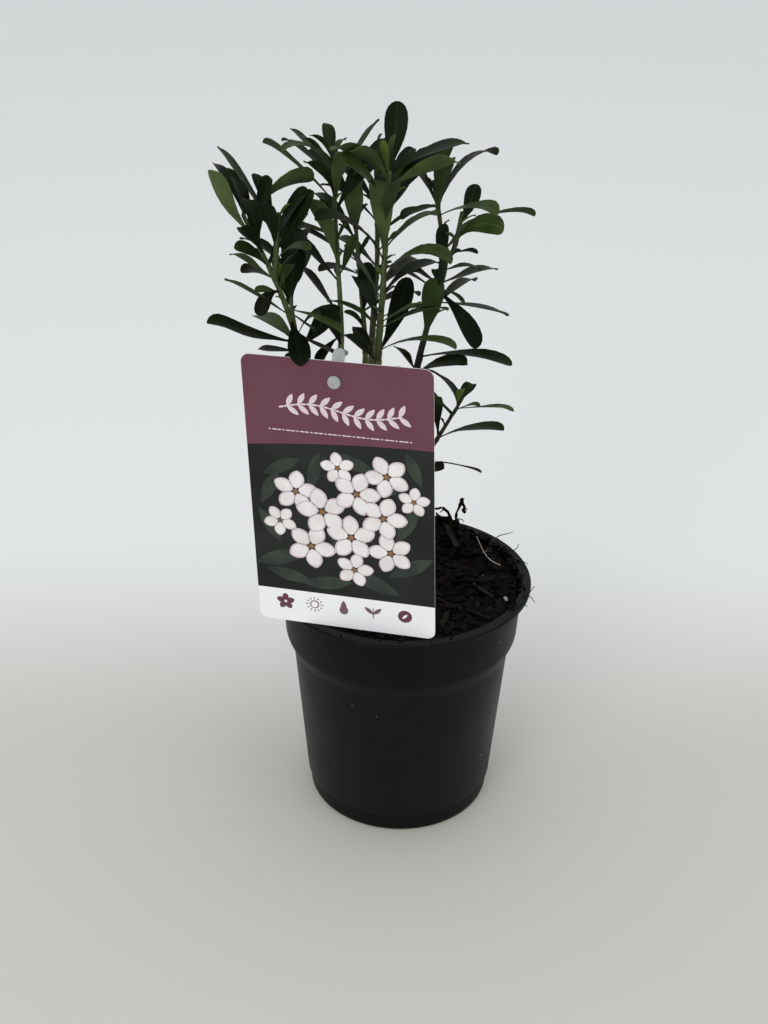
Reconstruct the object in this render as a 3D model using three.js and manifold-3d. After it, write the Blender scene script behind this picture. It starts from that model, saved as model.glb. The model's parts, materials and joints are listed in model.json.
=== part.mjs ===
// A young daphne shrub in a round nursery pot, with a plain label card tied to one of its shoots.
// Millimetres, +Z up. The origin is the centre of the pot's flat underside, and the card faces -Y.
// The shrub is a short trunk that forks into boughs. Each bough carries one leafy shoot, and every
// leaf is placed either by a row of the shoot's outline leaves or by the golden-angle rule.

import * as THREE from "three";
import { mergeVertices } from "three/addons/utils/BufferGeometryUtils.js";
import Module from "manifold-3d";

const wasm = await Module();
wasm.setup();

// ---------------------------------------------------------------- driving dimensions

const CLEARANCE = 0.3; // between neighbouring pieces that touch on the real plant

const POT = {
  height: 122.4,
  lipRadius: 63.8,
  lipThickness: 2.4,
  lipEdge: 0.5, // chamfer round the lip
  collarTop: 59.5, // outer radius of the straight collar under the lip
  collarBottom: 57.8,
  collarBottomHeight: 93.5,
  bodyTop: 53.3,
  bodyTopHeight: 79.5,
  bodyBottom: 47.6,
  shoulder: [0.8, 3], // out and up, where the body turns out towards the collar
  collarRound: [[1.6, 5.6], [0.3, 2.4]], // in and down from the collar's bottom edge
  seamHeight: 8.6, // the step round the foot
  seamStep: 1,
  seamRound: 0.6,
  footRadius: 44.3,
  footChamfer: [1.3, 1],
  footRound: [0.4, 3.2],
  wall: 1.2,
  floor: 1.6,
  segments: 40,
  drainCount: 8,
  drainRadius: 3.5,
  drainCircle: 35,
};

const SOIL = {
  height: 114.2, // of its surface where the trunk stands
  rise: 6.4, // towards the front and the back wall
  lift: 2.6, // towards the right wall
  bump: 0.9,
  waves: [0.31, 0.27, 0.13, 0.21], // how quickly the bumps follow each other
  rings: 7,
  segments: 32,
  seat: 10, // radius of the level patch round the trunk
};

const TRUNK = {
  foot: [-14, 1],
  fork: [-16, -1, 131],
  footRadius: 4.3,
  forkRadius: 3.5,
  flare: 2.6, // how far the root buttresses spread at the cut
  flareHeight: 6,
  flareSteps: [0, 0.25, 0.6, 1],
  lobes: 5,
  hollow: 0.35, // how far the flare spreads between two lobes, for its spread on one
  knot: 1.06, // radius of the knot at the fork, for the trunk's there
  arm: 16, // length of each arm of the fork, along its bough
};

const LIMB = {
  sides: 6,
  twigSides: 5,
  step: 11,
  twigStep: 8,
  twigStart: 0.9, // a twig's radius where it leaves its stem, for the stem's
  cut: [25, 40], // how far below and above its root a side bough is cut clear of its parent
  berth: 1.2, // how wide of a stem the leaves of other masses keep, for its radius
};

const LEAF = {
  slim: 0.27, // width for its length
  thickness: 0.56,
  petiole: 0.09, // half-width of the stalk, as a share of the greatest
  least: 0.4, // half-width that the solid never goes below
  swell: 1.9, // how far past the middle the blade is broadest
  blunt: 0.75,
  fold: 0.16, // how far the halves rise from the midrib, for their width
  droop: 32, // degrees that the blade turns down from base to tip
  stations: [0, 0.36, 0.66, 0.9, 1],
  clearStations: [0.16, 0.36, 0.56, 0.76, 0.92, 1], // where a leaf has to be clear of others
  clearance: 0.5,
};

const CARD = {
  width: 84,
  height: 136,
  thickness: 0.5,
  corner: 4,
  centre: [-28.2, -52.5, 190.7],
  yaw: -14,
  pitch: 3.4,
  roll: -1.07,
  hole: [-0.8, 58.5, 2.1], // across, up from the centre, and radius
  berth: 1, // how far past its edges the leaves keep
};

const TIE = {
  buttonRadius: 3.1,
  buttonHeight: 1.2,
  pegRadius: 1.7,
  plate: 1, // thickness
  head: 6.6, // how far its head stands above the card
  shoulder: 3.2, // height of the head's taper
  crown: 1.6, // half-width of the head's top
  strap: 0.8, // radius
  strapStart: 1.3, // radius at the head, for the strap's
  arch: 2.5, // how far the strap rises between the head and the ring
  ringHeight: 256, // of the ring, on its bough
};

// ---------------------------------------------------------------- the shoots
// path: where each stem runs, from its parent (or the fork) to its tip.
// from: the height where the bare bough ends and the leafy mass starts.
// outline: leaves as [height on the stem, turn, rise, length, options]. Turn is about Z from +X,
// rise is up from level, both in degrees. Options: droop, roll, and wide as a factor.
// rule: the height its leaves start from, how many it tries, and the turn of the first.
// room: the low and high corner of the mass's own space, which the rule's leaves stay inside.

const SHOOTS = {
  left: {
    path: [[-26, -12, 165], [-48, -30, 258], [-57, -32, 286], [-69, -36, 315]],
    from: 250,
    radii: [2.5, 1],
    room: [[-88, -72, 240], [-34, 0, 334]],
    outline: [
      [304, -155, 61, 36, { droop: -30, roll: 30 }],
      [310, 126, 39, 34, { droop: 30, wide: 0.9, roll: 25 }],
      [302, -57, 65, 34, { droop: 40, wide: 1.1, roll: 85 }],
      [311, 41, 21, 40, { droop: 65, roll: -55 }],
      [290, -134, 38, 24, { droop: 30, roll: -50 }],
      [286, 140, 15, 27, { droop: 5, wide: 0.9, roll: 10 }],
      [270, -148, 36, 36, { droop: 5, roll: 10 }],
      [279, -142, 19, 14, { droop: 30, roll: -35 }],
      [274, 82, 35, 32, { droop: -15, wide: 1.1 }],
      [281, -49, 57, 17, { droop: 15, roll: -15 }],
      [273, -45, 0, 34, { droop: 15, roll: -15 }],
      [272, -51, -9, 20, { droop: 2, roll: -30 }],
      [261, -79, -22, 24, { droop: 105, wide: 1.4, roll: 5 }],
      [263, -45, -7, 26, { droop: -25, roll: -20 }],
      [258, -21, 38, 28, { droop: 80, roll: 15 }],
      [255, 61, 20, 30, { droop: -60, wide: 1.1, roll: 15 }],
      [256, -150, 24, 45, { droop: -15, roll: -15 }],
      [253, 153, -7, 22, { droop: -15, roll: -5 }],
    ],
    rule: { from: 270, count: 13, turn: 200 },
    twigs: [
      {
        from: 286,
        path: [[-56, -34, 297], [-54, -37, 316]],
        outline: [
          [311, 119, 37, 28, { droop: -30, roll: 20 }],
          [294, -39, 28, 24, { droop: 65, roll: 15 }],
          [299, -32, 56, 34, { droop: -10, wide: 1.1, roll: 60 }],
          [295, -26, 63, 36, { droop: 45, wide: 1.1, roll: 40 }],
          [306, 137, 41, 47, { droop: 5, roll: 35 }],
        ],
        rule: { from: 292, count: 10, turn: 20 },
      },
    ],
  },
  centre: {
    path: [[-15, -10, 165], [-13, -23, 245], [-11, -25, 281], [-9, -22, 330]],
    from: 244,
    radii: [2.6, 1.1],
    room: [[-38, -66, 240], [24, 14, 350]],
    outline: [
      [329, 81, 53, 34, { droop: -60, wide: 1.1, roll: 10 }],
      [329, -113, 66, 17, { droop: -30, roll: -15 }],
      [291, -114, 78, 40, { droop: 15 }],
      [329, -135, 29, 36, { droop: 15, wide: 1.1, roll: 20 }],
      [328, 29, 15, 40, { droop: 30, wide: 1.1 }],
      [323, -40, 28, 40, { droop: 10, roll: -30 }],
      [328, 54, 25, 20, { droop: 25, roll: 15 }],
      [291, -148, 38, 44, { droop: 60, roll: -10 }],
      [297, 45, 17, 34, { droop: 45, roll: -20 }],
      [281, -19, 25, 40, { droop: 110, wide: 1.1, roll: 5 }],
      [277, 46, 10, 38, { droop: 50, roll: -5 }],
      [250, 66, 38, 42, { droop: -60, roll: -10 }],
      [250, -27, 14, 40, { droop: 50, wide: 0.9, roll: -5 }],
      [247, 110, 9, 32, { droop: -60, roll: 20 }],
      [244, -137, 44, 28, { droop: 15, roll: 20 }],
      [261, -147, 35, 32, { droop: 30, roll: 15 }],
      [274, 125, 31, 34, { droop: 15, wide: 0.9, roll: 40 }],
      [264, -32, 34, 24, { droop: 5, roll: -10 }],
      [261, 31, 6, 36, { droop: 30, roll: -15 }],
    ],
    rule: { from: 262, count: 14, turn: 170 },
  },
  right: {
    path: [[-6, -2, 165], [5, 0, 233], [15, 5, 282], [11, 15, 317]],
    from: 231,
    radii: [2.5, 1],
    room: [[-16, -36, 222], [50, 48, 336]],
    outline: [
      [303, -78, 64, 34, { droop: 55, roll: 5 }],
      [305, 38, 33, 44, { droop: 80, roll: -20 }],
      [306, -139, -1, 22, { droop: 25, roll: -10 }],
      [302, -49, 17, 38, { droop: 30, roll: 10 }],
      [278, -83, 76, 25, { droop: -20, roll: 20 }],
      [272, -156, 35, 16, { droop: 25, roll: -30 }],
      [278, 29, -3, 22, { droop: 35 }],
      [272, 39, 2, 36, { droop: 15, roll: -5 }],
      [246, -58, 76, 34, { droop: -15, wide: 1.1, roll: -30 }],
      [270, -35, -14, 16, { droop: 55, roll: -10 }],
      [270, -46, -38, 34, { droop: 35, roll: 15 }],
      [264, 28, -17, 42, { droop: 10, roll: -5 }],
      [238, -25, 6, 46, { droop: 35, wide: 0.9 }],
      [231, 40, -6, 32, { droop: 15, roll: 5 }],
      [231, -127, 48, 24, { droop: 10 }],
    ],
    rule: { from: 250, count: 12, turn: 260 },
    twigs: [
      {
        from: 282,
        path: [[20, 2, 289], [23, -5, 308]],
        outline: [
          [302, 64, 41, 22, { droop: -50, wide: 1.2, roll: 20 }],
          [293, -33, 23, 28, { droop: 80, wide: 1.2, roll: 60 }],
          [301, 22, 4, 38, { droop: 40, roll: -25 }],
        ],
        rule: { from: 288, count: 8, turn: 150 },
      },
    ],
  },
  back: {
    path: [[-16, 10, 165], [-16, 26, 235], [-14, 33, 274], [-15, 38, 318]],
    from: 236,
    radii: [2.4, 1],
    room: [[-44, 8, 232], [20, 74, 332]],
    outline: [],
    rule: { from: 245, count: 28, turn: 30 },
  },
  centre_left: {
    parent: "left",
    at: 150,
    path: [[-29, -24, 205], [-29, -26, 261], [-31, -15, 294], [-33, -5, 328]],
    from: 260,
    radii: [1.9, 0.9],
    room: [[-62, -48, 250], [-6, 30, 346]],
    outline: [
      [328, 100, 36, 24, { droop: -10, roll: 20 }],
      [328, -146, 53, 19, { droop: 60, roll: 15 }],
      [328, 65, 39, 16, { droop: 80, roll: -20 }],
      [313, 147, 30, 44, { droop: 20, roll: 40 }],
      [322, 142, 26, 32, { droop: 15, roll: 20 }],
      [326, -150, 26, 30, { droop: 85 }],
      [325, 137, 29, 30, { droop: 15, wide: 0.9, roll: 20 }],
      [328, -141, 43, 22, { droop: 15 }],
      [316, -125, 44, 28, { droop: 50, roll: 10 }],
      [288, -148, 68, 34, { droop: 15, roll: 30 }],
      [281, 134, 26, 36, { droop: 10, roll: 20 }],
      [267, 128, 27, 36, { droop: 5, roll: 30 }],
      [318, 54, 38, 40, { droop: 5, wide: 0.9, roll: -40 }],
    ],
    rule: { from: 275, count: 12, turn: 80 },
  },
  centre_back: {
    parent: "back",
    at: 160,
    path: [[-20, 10, 205], [-19, 10, 238], [-22, 15, 275], [-25, 18, 311]],
    from: 237,
    radii: [1.9, 0.9],
    room: [[-60, -20, 228], [16, 56, 334]],
    outline: [
      [311, 48, 42, 30, { droop: 30, roll: -5 }],
      [288, -111, 79, 30, { droop: -10, wide: 1.1, roll: 15 }],
      [284, 138, 3, 44, { droop: 25, roll: 30 }],
      [278, -174, 33, 30, { droop: 10 }],
      [256, -75, 75, 28, { droop: -50, wide: 1.1 }],
      [245, 168, 48, 16, { droop: 80, roll: -10 }],
    ],
    rule: { from: 250, count: 18, turn: 300 },
  },
  low_right: {
    parent: "right",
    at: 158,
    path: [[4, -8, 182], [14, -15, 203], [25, -25, 229]],
    from: 200,
    radii: [1.4, 0.8],
    room: [[-10, -52, 196], [36, 20, 240]],
    outline: [
      [224, -75, 61, 14],
      [224, 61, 22, 17, { wide: 1.4 }],
      [223, -34, 15, 30, { droop: 10, wide: 0.8, roll: -10 }],
      [221, -41, 28, 16],
      [205, -35, 23, 38, { droop: 30, wide: 0.8, roll: 8 }],
      [206, 93, 17, 30, { wide: 0.9 }],
    ],
    rule: { from: 206, count: 6, turn: 200 },
  },
  back_left: {
    parent: "left",
    at: 172,
    path: [[-42, -4, 215], [-52, 12, 250], [-57, 26, 288]],
    from: 226,
    radii: [1.7, 0.9],
    room: [[-82, -6, 225], [-38, 60, 306]],
    outline: [],
    rule: { from: 240, count: 20, turn: 110 },
  },
  low_right_back: {
    parent: "right",
    at: 148,
    path: [[2, 9, 158], [8, 15, 168], [12, 19, 177]],
    from: 166,
    radii: [1.2, 0.8],
    room: [[-30, -10, 150], [13, 56, 200]],
    outline: [
      [176, -34, 6, 31, { droop: 20, wide: 0.7, roll: -25 }],
      [172, -45, 27, 15, { droop: 20, wide: 1.5, roll: 40 }],
    ],
    rule: { from: 168, count: 7, turn: 100 },
  },
  low_left: {
    parent: "left",
    at: 146,
    path: [[-33, 2, 165], [-42, 12, 188], [-46, 17, 206]],
    from: 180,
    radii: [1.3, 0.8],
    room: [[-84, -14, 172], [-14, 52, 232]],
    outline: [],
    rule: { from: 184, count: 10, turn: 10 },
  },
};

const EYE = [-10, -600, 478];

// The open places of the crown, seen from the eye: x, z and radius on the plane y = 0.
const OPENINGS = [
  [-56, 312, 3], [-65, 295, 2], [-54, 331, 4], [-64, 332, 4], [-42, 321, 3], [-43, 305, 1.5],
  [-38, 289, 3.5], [-37, 274, 4], [-46, 270, 4], [-41, 265, 2.5], [-47, 264, 3],
  [-49, 255, 2.5], [-27, 269, 4], [-25, 285, 1.5], [-16, 306, 3], [-16, 285, 2.5],
  [-27, 309, 1.5], [-15, 294, 1.5], [1, 294, 5], [9, 295, 3.5], [4, 314, 4], [-1, 311, 2],
  [12, 301, 1.5], [20, 302, 2], [18, 316, 2.5], [23, 322, 4.5], [28, 326, 5], [-4, 276, 1.5],
  [5, 279, 1.5], [5, 266, 1.5], [3, 257, 2.5], [1, 252, 3.5], [15, 253, 5.5], [11, 244, 2.5],
  [22, 247, 3.5], [31, 270, 4.5], [38, 271, 4.5], [27, 286, 2.5], [35, 287, 4], [-1, 244, 1.5],
  [-7, 238, 3.5], [-75, 276, 3.5], [-68, 274, 2.5], [-81, 282, 3.5], [-76, 260, 4],
  [-83, 266, 5.5], [-66, 244, 2], [-62, 243, 2], [-47, 332, 3.5], [-55, 335, 2],
  [-77, 306, 1.5], [-23, 342, 4.5], [-17, 342, 3], [5, 343, 5.5], [1, 338, 2], [-19, 348, 3.5],
  [-28, 345, 4], [33, 340, 6], [41, 320, 8], [32, 322, 2.5], [49, 294, 7], [43, 286, 4.5],
  [47, 271, 5.5], [45, 250, 7.5], [37, 255, 3.5], [-75, 341, 6], [-90, 333, 6], [-90, 297, 8],
  [-88, 272, 5.5], [-73, 328, 2], [-66, 327, 2], [-48, 339, 2], [12, 343, 4.5], [-34, 354, 6],
];

const RULE = {
  turn: 137.5,
  crowding: 1.7, // how the leaves gather towards the tip
  young: 0.2, // share of the rule's leaves that are the young ones at the tip
  rise: [12, 60], // at the foot and at the head of a shoot
  youngRise: [62, 84],
  length: [38, 32],
  youngLength: [24, 12],
  spread: 14, // random turn, either way
  riseSpread: 8,
  rollSpread: 20,
  lengthRange: [0.88, 1.08],
  tries: [[0, 0], [14, 6], [-14, 6], [28, -6], [-28, -6], [44, 10], [-44, 10]], // turn and rise
  behind: 0.35, // how far back they point where the front has leaves of its own
  seed: [101, 17], // of the first stem, and the step from one stem to the next
};

// ---------------------------------------------------------------- small helpers

const rad = THREE.MathUtils.degToRad;
const mix = (a, b, t) => a + (b - a) * t;
const V = (p) => new THREE.Vector3(...p);

// The Park-Miller generator: whole numbers only, so any language gives the same draws.
function seeded(seed) {
  let state = seed;
  return () => {
    state = (state * 16807) % 2147483647;
    return state / 2147483647;
  };
}

function solidOf(geometry) {
  const bare = geometry.clone();
  bare.deleteAttribute("normal");
  bare.deleteAttribute("uv");
  const merged = mergeVertices(bare, 1e-4);
  return new wasm.Manifold(
    new wasm.Mesh({
      numProp: 3,
      vertProperties: merged.attributes.position.array,
      triVerts: new Uint32Array(merged.index.array),
    }),
  );
}

function geometryOf(solid) {
  const mesh = solid.getMesh();
  const geometry = new THREE.BufferGeometry();
  geometry.setAttribute("position", new THREE.BufferAttribute(mesh.vertProperties, 3));
  geometry.setIndex(new THREE.BufferAttribute(mesh.triVerts, 1));
  return geometry;
}

// A closed solid through rings of equally many points, with a fan over each end.
function loft(rings) {
  const sides = rings[0].length;
  const points = rings.flat();
  const faces = [];
  rings.slice(1).forEach((ring, k) => {
    for (let i = 0; i < sides; i++) {
      const j = (i + 1) % sides;
      const [a, b] = [k * sides + i, k * sides + j];
      faces.push(a, b, b + sides, a, b + sides, a + sides);
    }
  });
  const last = (rings.length - 1) * sides;
  for (let i = 1; i < sides - 1; i++) {
    faces.push(0, i + 1, i);
    faces.push(last, last + i, last + i + 1);
  }
  const geometry = new THREE.BufferGeometry().setFromPoints(points);
  geometry.setIndex(faces);
  return geometry;
}

const material = (color, roughness) => new THREE.MeshStandardMaterial({ color, roughness });
const MATERIALS = {
  pot: material("#2b2d2f", 0.45),
  soil: material("#1c130d", 0.95),
  bark: material("#4a3b2a", 0.85),
  foliage: material("#2f4a2c", 0.5),
  card: material("#6f4b57", 0.35),
  tie: material("#c9cfcd", 0.3),
};

const plant = new THREE.Group();

function addMesh(name, geometry, surface) {
  const mesh = new THREE.Mesh(geometry, surface);
  mesh.name = name;
  plant.add(mesh);
  return mesh;
}

// ---------------------------------------------------------------- pot

// Outer radius and height of the wall, from the foot to the lip.
const POT_WALL = [
  [POT.footRadius, 0],
  [POT.footRadius + POT.footChamfer[0], POT.footChamfer[1]],
  [POT.bodyBottom - POT.seamStep - POT.footRound[0], POT.footRound[1]],
  [POT.bodyBottom - POT.seamStep, POT.seamHeight - POT.seamRound],
  [POT.bodyBottom, POT.seamHeight],
  [POT.bodyTop, POT.bodyTopHeight],
  [POT.bodyTop + POT.shoulder[0], POT.bodyTopHeight + POT.shoulder[1]],
  ...POT.collarRound.map(([inward, down]) => [
    POT.collarBottom - inward,
    POT.collarBottomHeight - down,
  ]),
  [POT.collarBottom, POT.collarBottomHeight],
  [POT.collarTop, POT.height - POT.lipThickness],
];

// The inside follows the outside at the wall's thickness, without its small roundings.
const insideWall = [1, 3, 5, 6, 9, 10].map((i) => {
  const [r, z] = POT_WALL[i];
  return [r - POT.wall, Math.max(z, POT.floor)];
});

function buildPot() {
  const { height, lipRadius, lipThickness, lipEdge, collarTop, wall } = POT;
  const lip = [
    [lipRadius - lipEdge, height - lipThickness],
    [lipRadius, height - lipThickness + lipEdge],
    [lipRadius, height - lipEdge],
    [lipRadius - lipEdge, height],
    [collarTop - wall + lipEdge, height],
  ];
  const inner = [...insideWall].reverse();
  const profile = [[0, 0], ...POT_WALL, ...lip, ...inner, [0, POT.floor]];
  const turned = new THREE.LatheGeometry(
    profile.map(([r, z]) => new THREE.Vector2(r, z)),
    POT.segments,
  ).rotateX(Math.PI / 2);
  let pot = solidOf(turned);
  for (let i = 0; i < POT.drainCount; i++) {
    const angle = (2 * Math.PI * (i + 0.5)) / POT.drainCount;
    const drain = new THREE.CylinderGeometry(POT.drainRadius, POT.drainRadius, 4 * POT.floor, 8)
      .rotateX(Math.PI / 2)
      .translate(POT.drainCircle * Math.cos(angle), POT.drainCircle * Math.sin(angle), 0);
    pot = pot.subtract(solidOf(drain));
  }
  addMesh("pot", geometryOf(pot), MATERIALS.pot);
}

// ---------------------------------------------------------------- soil

// Height of the soil's surface: higher at the front and back wall, level round the trunk.
function soilHeight(x, y) {
  const out = POT.collarTop;
  const slope = SOIL.rise * (y / out) ** 2 + SOIL.lift * (x / out);
  const [a, b, c, d] = SOIL.waves;
  const bumps = Math.sin(x * a + 1) * Math.cos(y * b) + 0.6 * Math.sin(x * c - y * d);
  const away = Math.hypot(x - TRUNK.foot[0], y - TRUNK.foot[1]);
  const level = THREE.MathUtils.smoothstep(away, SOIL.seat, 2 * SOIL.seat);
  return SOIL.height + (slope + SOIL.bump * bumps) * level;
}

// Radius of the pot's inside at a height. The lip's inside is as wide as the wall's top.
function insideRadius(height) {
  const level = Math.min(height, insideWall.at(-1)[1]);
  const k = Math.max(1, insideWall.findIndex(([, z]) => z >= level));
  const [r0, z0] = insideWall[k - 1];
  const [r1, z1] = insideWall[k];
  return mix(r0, r1, (level - z0) / (z1 - z0));
}

function buildSoil() {
  const points = [[0, 0, POT.floor + CLEARANCE]];
  const faces = [];
  const levels = insideWall.filter(([, z]) => z < SOIL.height - SOIL.seat);
  const rows = levels.length + SOIL.rings;
  const wide = insideRadius(SOIL.height);
  const facet = 1 / Math.cos(Math.PI / POT.segments) - 1; // by which the pot's flats lie inside
  for (let i = 0; i < SOIL.segments; i++) {
    const angle = (2 * Math.PI * i) / SOIL.segments;
    const [c, s] = [Math.cos(angle), Math.sin(angle)];
    levels.forEach(([inside, z], k) => {
      const r = inside * (1 - facet) - 2 * CLEARANCE;
      points.push([r * c, r * s, k ? z : z + CLEARANCE]);
    });
    const edge = insideRadius(soilHeight(wide * c, wide * s)) - 3 * CLEARANCE;
    for (let k = 0; k < SOIL.rings; k++) {
      const r = edge * (1 - k / SOIL.rings);
      points.push([r * c, r * s, soilHeight(r * c, r * s)]);
    }
  }
  const top = points.length;
  points.push([0, 0, soilHeight(0, 0)]);
  for (let i = 0; i < SOIL.segments; i++) {
    const [a, b] = [1 + i * rows, 1 + ((i + 1) % SOIL.segments) * rows];
    faces.push(0, b, a);
    for (let k = 0; k < rows - 1; k++) {
      faces.push(a + k, b + k, b + k + 1);
      faces.push(a + k, b + k + 1, a + k + 1);
    }
    faces.push(a + rows - 1, b + rows - 1, top);
  }
  const geometry = new THREE.BufferGeometry().setFromPoints(points.map(V));
  geometry.setIndex(faces);
  addMesh("soil", geometry, MATERIALS.soil);
}

// ---------------------------------------------------------------- limbs

// A stem's course: points a fixed distance apart along a smooth curve, with the radius at each.
function courseOf(points, radii) {
  const curve = new THREE.CatmullRomCurve3(points.map(V), false, "catmullrom", 0.5);
  const count = Math.ceil(curve.getLength());
  const samples = curve.getSpacedPoints(count);
  return samples.map((point, i) => ({ point, radius: mix(radii[0], radii[1], i / count) }));
}

// The stretch of a course between two heights.
const between = (course, low, high) =>
  course.filter(({ point }) => point.z >= low && point.z <= high);

// The sample of a course nearest to a height.
const nearest = (course, height) =>
  course.reduce((a, b) => (Math.abs(b.point.z - height) < Math.abs(a.point.z - height) ? b : a));

// Two directions square to a stem that turn with it as little as they can.
function squareTo(direction) {
  const across = new THREE.Vector3(1, 0, 0).addScaledVector(direction, -direction.x).normalize();
  return [across, new THREE.Vector3().crossVectors(direction, across)];
}

// A ring of points round one sample of a course.
function ringAround(course, i, sides, radius) {
  const ahead = course[Math.min(i + 1, course.length - 1)].point;
  const behind = course[Math.max(i - 1, 0)].point;
  const [a, b] = squareTo(new THREE.Vector3().subVectors(ahead, behind).normalize());
  return Array.from({ length: sides }, (_, k) => {
    const angle = (2 * Math.PI * k) / sides;
    const out = a.clone().multiplyScalar(Math.cos(angle)).addScaledVector(b, Math.sin(angle));
    return course[i].point.clone().addScaledVector(out, radius);
  });
}

// A tapering tube along a course. Grow widens it, for cutting a neighbour clear of it.
function tube(course, sides, step, grow = 0) {
  const last = course.length - 1;
  const spans = Math.max(1, Math.round(last / step));
  const picks = Array.from({ length: spans + 1 }, (_, k) => Math.round((k * last) / spans));
  return solidOf(loft(picks.map((i) => ringAround(course, i, sides, course[i].radius + grow))));
}

// Every stem's course, from the fork or from the middle of its parent bough.
const courses = {};
for (const [name, shoot] of Object.entries(SHOOTS)) {
  const root = shoot.parent ? nearest(courses[shoot.parent], shoot.at).point.toArray() : TRUNK.fork;
  courses[name] = courseOf([root, ...shoot.path], shoot.radii);
  (shoot.twigs ?? []).forEach((twig, i) => {
    const start = nearest(courses[name], twig.from);
    const path = [start.point.toArray(), ...twig.path];
    courses[name + "_twig_" + i] = courseOf(path, [start.radius * LIMB.twigStart, shoot.radii[1]]);
  });
}

// A stretch of a course, started the clearance past the sample that the stretch below it ends on.
function clearOf(course, stretch) {
  const below = course[course.indexOf(stretch[0]) - 1];
  const way = new THREE.Vector3().subVectors(stretch[0].point, below.point).normalize();
  return [{ ...below, point: below.point.clone().addScaledVector(way, CLEARANCE) }, ...stretch];
}

// The bare bough: from the end of its arm of the fork, or from inside its parent, to its mass.
const mainBoughs = Object.keys(SHOOTS).filter((name) => !SHOOTS[name].parent);
const armOf = (name) => courses[name].slice(0, TRUNK.arm);
function boughOf(name) {
  const course = courses[name];
  const bare = course.filter(({ point }) => point.z < SHOOTS[name].from);
  return SHOOTS[name].parent ? bare : clearOf(course, bare.slice(TRUNK.arm));
}

function buildTrunk() {
  const { foot, fork, footRadius, forkRadius, flare, flareHeight, lobes } = TRUNK;
  const base = SOIL.height + CLEARANCE;
  const sides = 2 * lobes;
  const heights = [...TRUNK.flareSteps.map((share) => share * flareHeight), fork[2] + 1 - base];
  const rings = heights.map((height) => {
    const share = height / (fork[2] - base);
    const [x, y] = [mix(foot[0], fork[0], share), mix(foot[1], fork[1], share)];
    const spread = flare * Math.max(0, 1 - height / flareHeight) ** 2;
    return Array.from({ length: sides }, (_, k) => {
      const angle = (2 * Math.PI * k) / sides;
      const lobe = spread * (k % 2 ? TRUNK.hollow : 1);
      const radius = mix(footRadius, forkRadius, share) + lobe;
      return V([x + radius * Math.cos(angle), y + radius * Math.sin(angle), base + height]);
    });
  });
  const arms = mainBoughs.map((name) => tube(armOf(name), LIMB.sides, 4));
  const knot = new THREE.IcosahedronGeometry(forkRadius * TRUNK.knot, 1).translate(...fork);
  const trunk = wasm.Manifold.union([solidOf(loft(rings)), solidOf(knot), ...arms]);
  addMesh("trunk", geometryOf(trunk), MATERIALS.bark);
}

function buildBoughs() {
  const [below, above] = LIMB.cut;
  for (const [name, { parent, at }] of Object.entries(SHOOTS)) {
    let bough = tube(boughOf(name), LIMB.sides, LIMB.step);
    if (parent) {
      const stretch = between(courses[parent], at - below, at + above);
      bough = bough.subtract(tube(stretch, 2 * LIMB.sides, LIMB.sides, CLEARANCE));
    }
    addMesh("bough_" + name, geometryOf(largest(bough)), MATERIALS.bark);
  }
}

const largest = (solid) => solid.decompose().reduce((a, b) => (b.volume() > a.volume() ? b : a));

// ---------------------------------------------------------------- leaves

// Half-width of a blade along its length, as a share of the greatest: narrow at the foot, broadest
// past the middle, and blunt at the tip.
function outlineAt(s) {
  const blade = Math.sin(Math.PI * s ** LEAF.swell) ** LEAF.blunt;
  return Math.max(LEAF.petiole * (1 - s) * 2, blade);
}

// The frames of a blade from its root: an arc in the upright plane of its turn.
function frameLeaf(leaf, stations) {
  const { root, turn, rise, length, droop, roll } = leaf;
  const [heading, bend, tilt] = [rad(turn), rad(droop), rad(roll)];
  const first = rad(rise) + bend / 2;
  const level = V([Math.cos(heading), Math.sin(heading), 0]);
  const side = V([-level.y, level.x, 0]);
  const up = V([0, 0, 1]);
  return stations.map((s) => {
    const now = first - bend * s;
    const centre = root
      .clone()
      .addScaledVector(level, (length * (Math.sin(first) - Math.sin(now))) / bend)
      .addScaledVector(up, (length * (Math.cos(now) - Math.cos(first))) / bend);
    const upper = level.clone().multiplyScalar(-Math.sin(now)).addScaledVector(up, Math.cos(now));
    const across = side.clone().multiplyScalar(Math.cos(tilt)).addScaledVector(upper, Math.sin(tilt));
    const face = upper.clone().multiplyScalar(Math.cos(tilt)).addScaledVector(side, -Math.sin(tilt));
    return { centre, across, face, half: (leaf.width / 2) * outlineAt(s) };
  });
}

const leafPoint = (frame, sideways, lift) =>
  frame.centre
    .clone()
    .addScaledVector(frame.across, sideways)
    .addScaledVector(frame.face, lift + LEAF.fold * Math.abs(sideways));

// A blade as a thin closed solid: four points round each frame and one at the tip.
function leafSolid(leaf) {
  const frames = frameLeaf(leaf, LEAF.stations);
  const rings = frames.slice(0, -1).map((frame) => {
    const half = Math.max(frame.half, LEAF.least);
    const thick = LEAF.thickness / 2;
    return [
      leafPoint(frame, half, 0),
      leafPoint(frame, 0, thick),
      leafPoint(frame, -half, 0),
      leafPoint(frame, 0, -thick),
    ];
  });
  const points = rings.flat();
  const tip = points.length;
  points.push(frames.at(-1).centre);
  const faces = [0, 2, 1, 0, 3, 2];
  for (let k = 0; k < rings.length; k++) {
    for (let i = 0; i < 4; i++) {
      const [a, b] = [k * 4 + i, k * 4 + ((i + 1) % 4)];
      if (k === rings.length - 1) faces.push(a, b, tip);
      else faces.push(a, b, b + 4, a, b + 4, a + 4);
    }
  }
  const geometry = new THREE.BufferGeometry().setFromPoints(points);
  geometry.setIndex(faces);
  return solidOf(geometry);
}

// What a leaf or a limb takes up: lines to test against others' faces, and faces for their lines.
function occupied(lines, faces) {
  const box = new THREE.Box3().setFromPoints(lines.flat());
  faces.forEach((face) => face.forEach((p) => box.expandByPoint(p)));
  return { lines, faces, box };
}

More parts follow.
